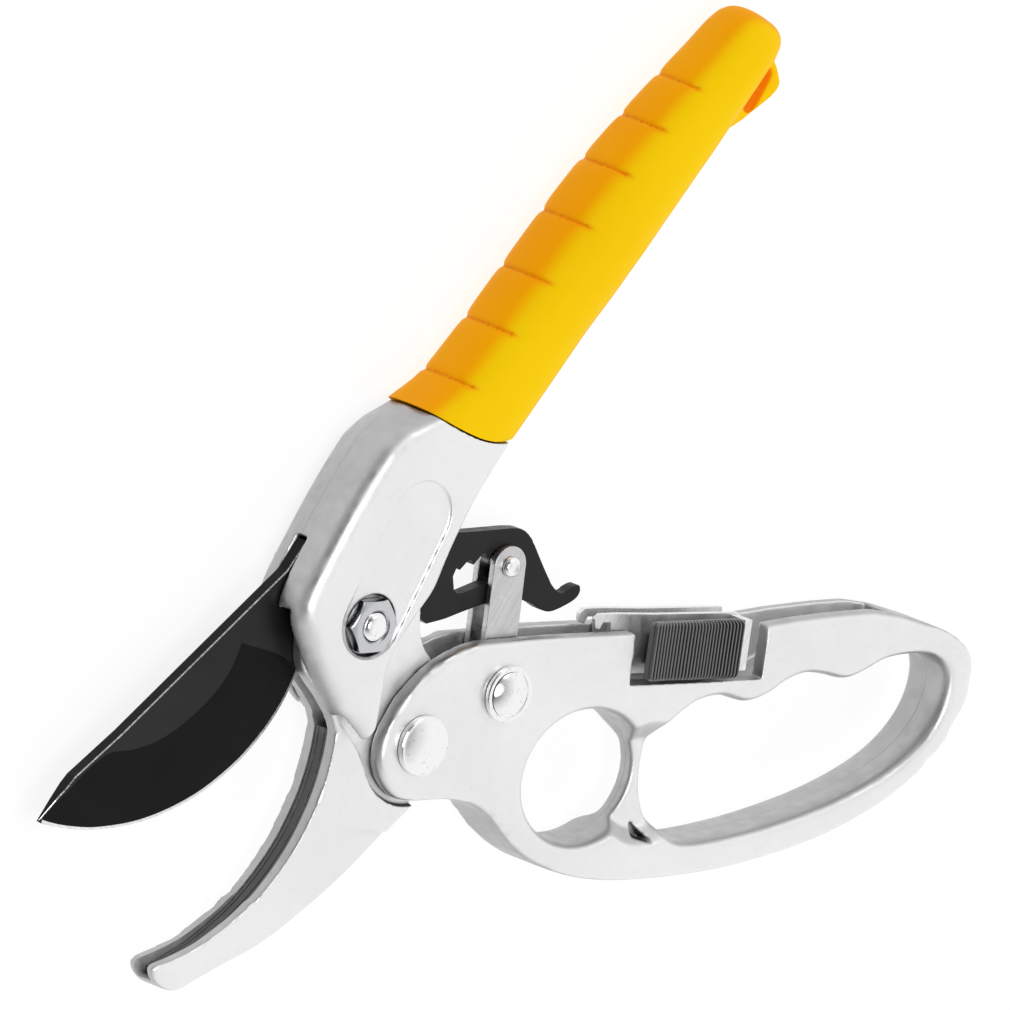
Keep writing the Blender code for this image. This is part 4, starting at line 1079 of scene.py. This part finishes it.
# ---- lock slide --------------------------------------------------------------------------------
def lock():
    low, high = FLANGE_Z
    flange = bar([(43.2, 20.6), (44.4, 20.2), (45.1, 21.6), (47, 21.6), (48.6, 11.2), (79.3, 11.2),
                  (79.3, 22.5), (58, 22.9), (48.5, 23.3), (44.1, 23.3), (42.9, 22.3)])
    web = bar([(73, 11.5), (79, 11.5), (79, 20.6), (73, 20.6)])
    lug = bar([(77.2, 12.2), (79.1, 12.2), (79.1, 22.2), (77.2, 22.2)])
    slide = plate("slide_plate", flange, low, high, 0.12)
    join(slide, plate("web", web, -low - 0.4, low + 0.4),
         plate("rear", flange, -high, -low, 0.12),
         plate("lug", lug, high - 0.4, 7.6, 0.25))
    centre = bar([LOCK_RIVET])[0]
    cut(slide, hole(1.25, centre, low=0), hole(2.3, centre, low=0, high=2.35))
    dress(slide, "lock", "steel", PLATE_STEEL, "lock_plate")
    knob(centre)


def knob(rivet):
    """Thumb slide with a ribbed crest; a hollow from below takes the rivet's head."""
    left, right, low, high, ribs = 53.8, 76.7, 11, 22.5, 27
    foot, shoulder, crest = KNOB_Z
    pitch = (right - left - 1) / ribs
    profile = [(right, shoulder), (right, crest - 0.9), (right - 0.15, crest - 0.45)]
    for k in range(ribs + 1):
        x = right - 0.5 - pitch * k
        wave = 0.12 * math.cos(2 * math.pi * (x - left) / 11)
        profile += [(x, crest + wave - 0.06), (x - 0.12 * pitch, crest + wave),
                    (x - 0.36 * pitch, crest + wave), (x - 0.5 * pitch, crest + wave - 0.1),
                    (x - 0.68 * pitch, crest + wave - 0.42), (x - 0.84 * pitch, crest + wave - 0.42)]
    profile += [(left + 0.25, crest - 0.35), (left, crest - 0.9), (left, shoulder)]
    sections = []
    corners = ((low, 0.9, 1), (low + 0.12, 0.45, 0.5), (low + 0.45, 0.12, 0.15), (low + 0.9, 0, 0),
               (high - 0.9, 0, 0), (high - 0.45, 0.12, 0.15), (high - 0.12, 0.45, 0.5), (high, 0.9, 1))
    middle = (left + right) / 2
    for y, trim, pull in corners:
        section = []
        for x, z in profile:
            inward = pull * (x - middle) / (right - middle)
            section.append((*bar([(x - inward, y)])[0], z - (trim if z > crest - 1 else 0)))
        sections.append(section)
    thumb = loft("thumb_slide", sections)
    shank = bar([(57, 13), (73, 13), (73, 19.4), (57, 19.4)])
    join(thumb, plate("shank", shank, foot, shoulder + 0.5))
    cut(thumb, hole(1.25, rivet, low=0, high=7.8))
    dress(thumb, "lock", "black_plastic", RIBBED, "lock_knob", angle=28)


def carried_over():
    """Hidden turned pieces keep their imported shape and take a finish."""
    for node in ("pivot_bush", "blade_pin", "ratchet_pin", "link_spacer", "lock_rivet"):
        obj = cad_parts[node]
        obj.data.materials.clear()
        obj.data.materials.append(SPRING)


# ---- studio ------------------------------------------------------------------------------------
SHADE = (-0.143, 0.674, 0.725)   # direction in which the light tent is open
CAMERA_DISTANCE = 7.483          # metres


def light(name, place, size, power):
    """A white disk lamp that points at the world's origin."""
    lamp = bpy.data.lights.new(name, "AREA")
    lamp.shape = "DISK"
    lamp.size = size
    lamp.energy = power
    obj = add(name, lamp, place)
    obj.rotation_euler = (-Vector(place)).to_track_quat("-Z", "Y").to_euler()


def studio():
    """White paper in a light tent, whose one dark side faces SHADE."""
    bm = bmesh.new()
    bmesh.ops.create_grid(bm, x_segments=8, y_segments=8, size=6)
    paper = add("paper", mesh_of("paper", bm), (0, 0, FLOOR - 0.0004))
    paper.data.materials.append(floor_surface("paper_look"))

    world = bpy.data.worlds.new("studio")
    bpy.context.scene.world = world
    world.use_nodes = True
    tree = world.node_tree
    place = tree.nodes.new("ShaderNodeTexCoord")
    along = tree.nodes.new("ShaderNodeVectorMath")
    along.operation = "DOT_PRODUCT"
    along.inputs[1].default_value = SHADE
    ramp = tree.nodes.new("ShaderNodeValToRGB")
    tree.links.new(place.outputs["Generated"], along.inputs[0])
    tree.links.new(along.outputs["Value"], ramp.inputs["Fac"])
    tree.links.new(ramp.outputs["Color"], tree.nodes["Background"].inputs["Color"])
    stops = ((0, 0.96), (0.20, 0.96), (0.55, 0.70), (0.80, 0.22), (1, 0.06))
    while len(ramp.color_ramp.elements) < len(stops):
        ramp.color_ramp.elements.new(0.5)
    for element, (position, grey) in zip(ramp.color_ramp.elements, stops):
        element.position = position
        element.color = (grey, grey, grey, 1)
    tree.nodes["Background"].inputs["Strength"].default_value = 1

    light("key", (-0.2, 0.6, 1.6), 1, 10)
    light("fill", (1.2, 0.4, 1.1), 0.8, 2)


def camera():
    """Long lens, from behind the tool and 46 degrees up, with the grip at the upper right."""
    back = Vector((-0.143, 0.6736, 0.7254)).normalized()
    right = Vector((0.491, -0.588, 0.643))
    up = back.cross(right).normalized()
    right = up.cross(back)
    target = BOLT + metres(35.9, -22.5, 0)
    data = bpy.data.cameras.new("view")
    data.sensor_width = 36
    data.lens = 1400
    data.clip_start = 0.1
    data.clip_end = 60
    stand = Matrix((right, up, back)).transposed().to_4x4()
    stand.translation = target + back * CAMERA_DISTANCE
    obj = add("view", data)
    obj.matrix_world = stand
    bpy.context.scene.camera = obj


upper_casting()
grip()
blade()
nut_and_bolt()
ratchet_plate()
springs()
jaw()
insert()
lower_casting()
rivets()
link()
lock()
carried_over()
studio()
camera()
bpy.context.scene.view_settings.view_transform = "Standard"
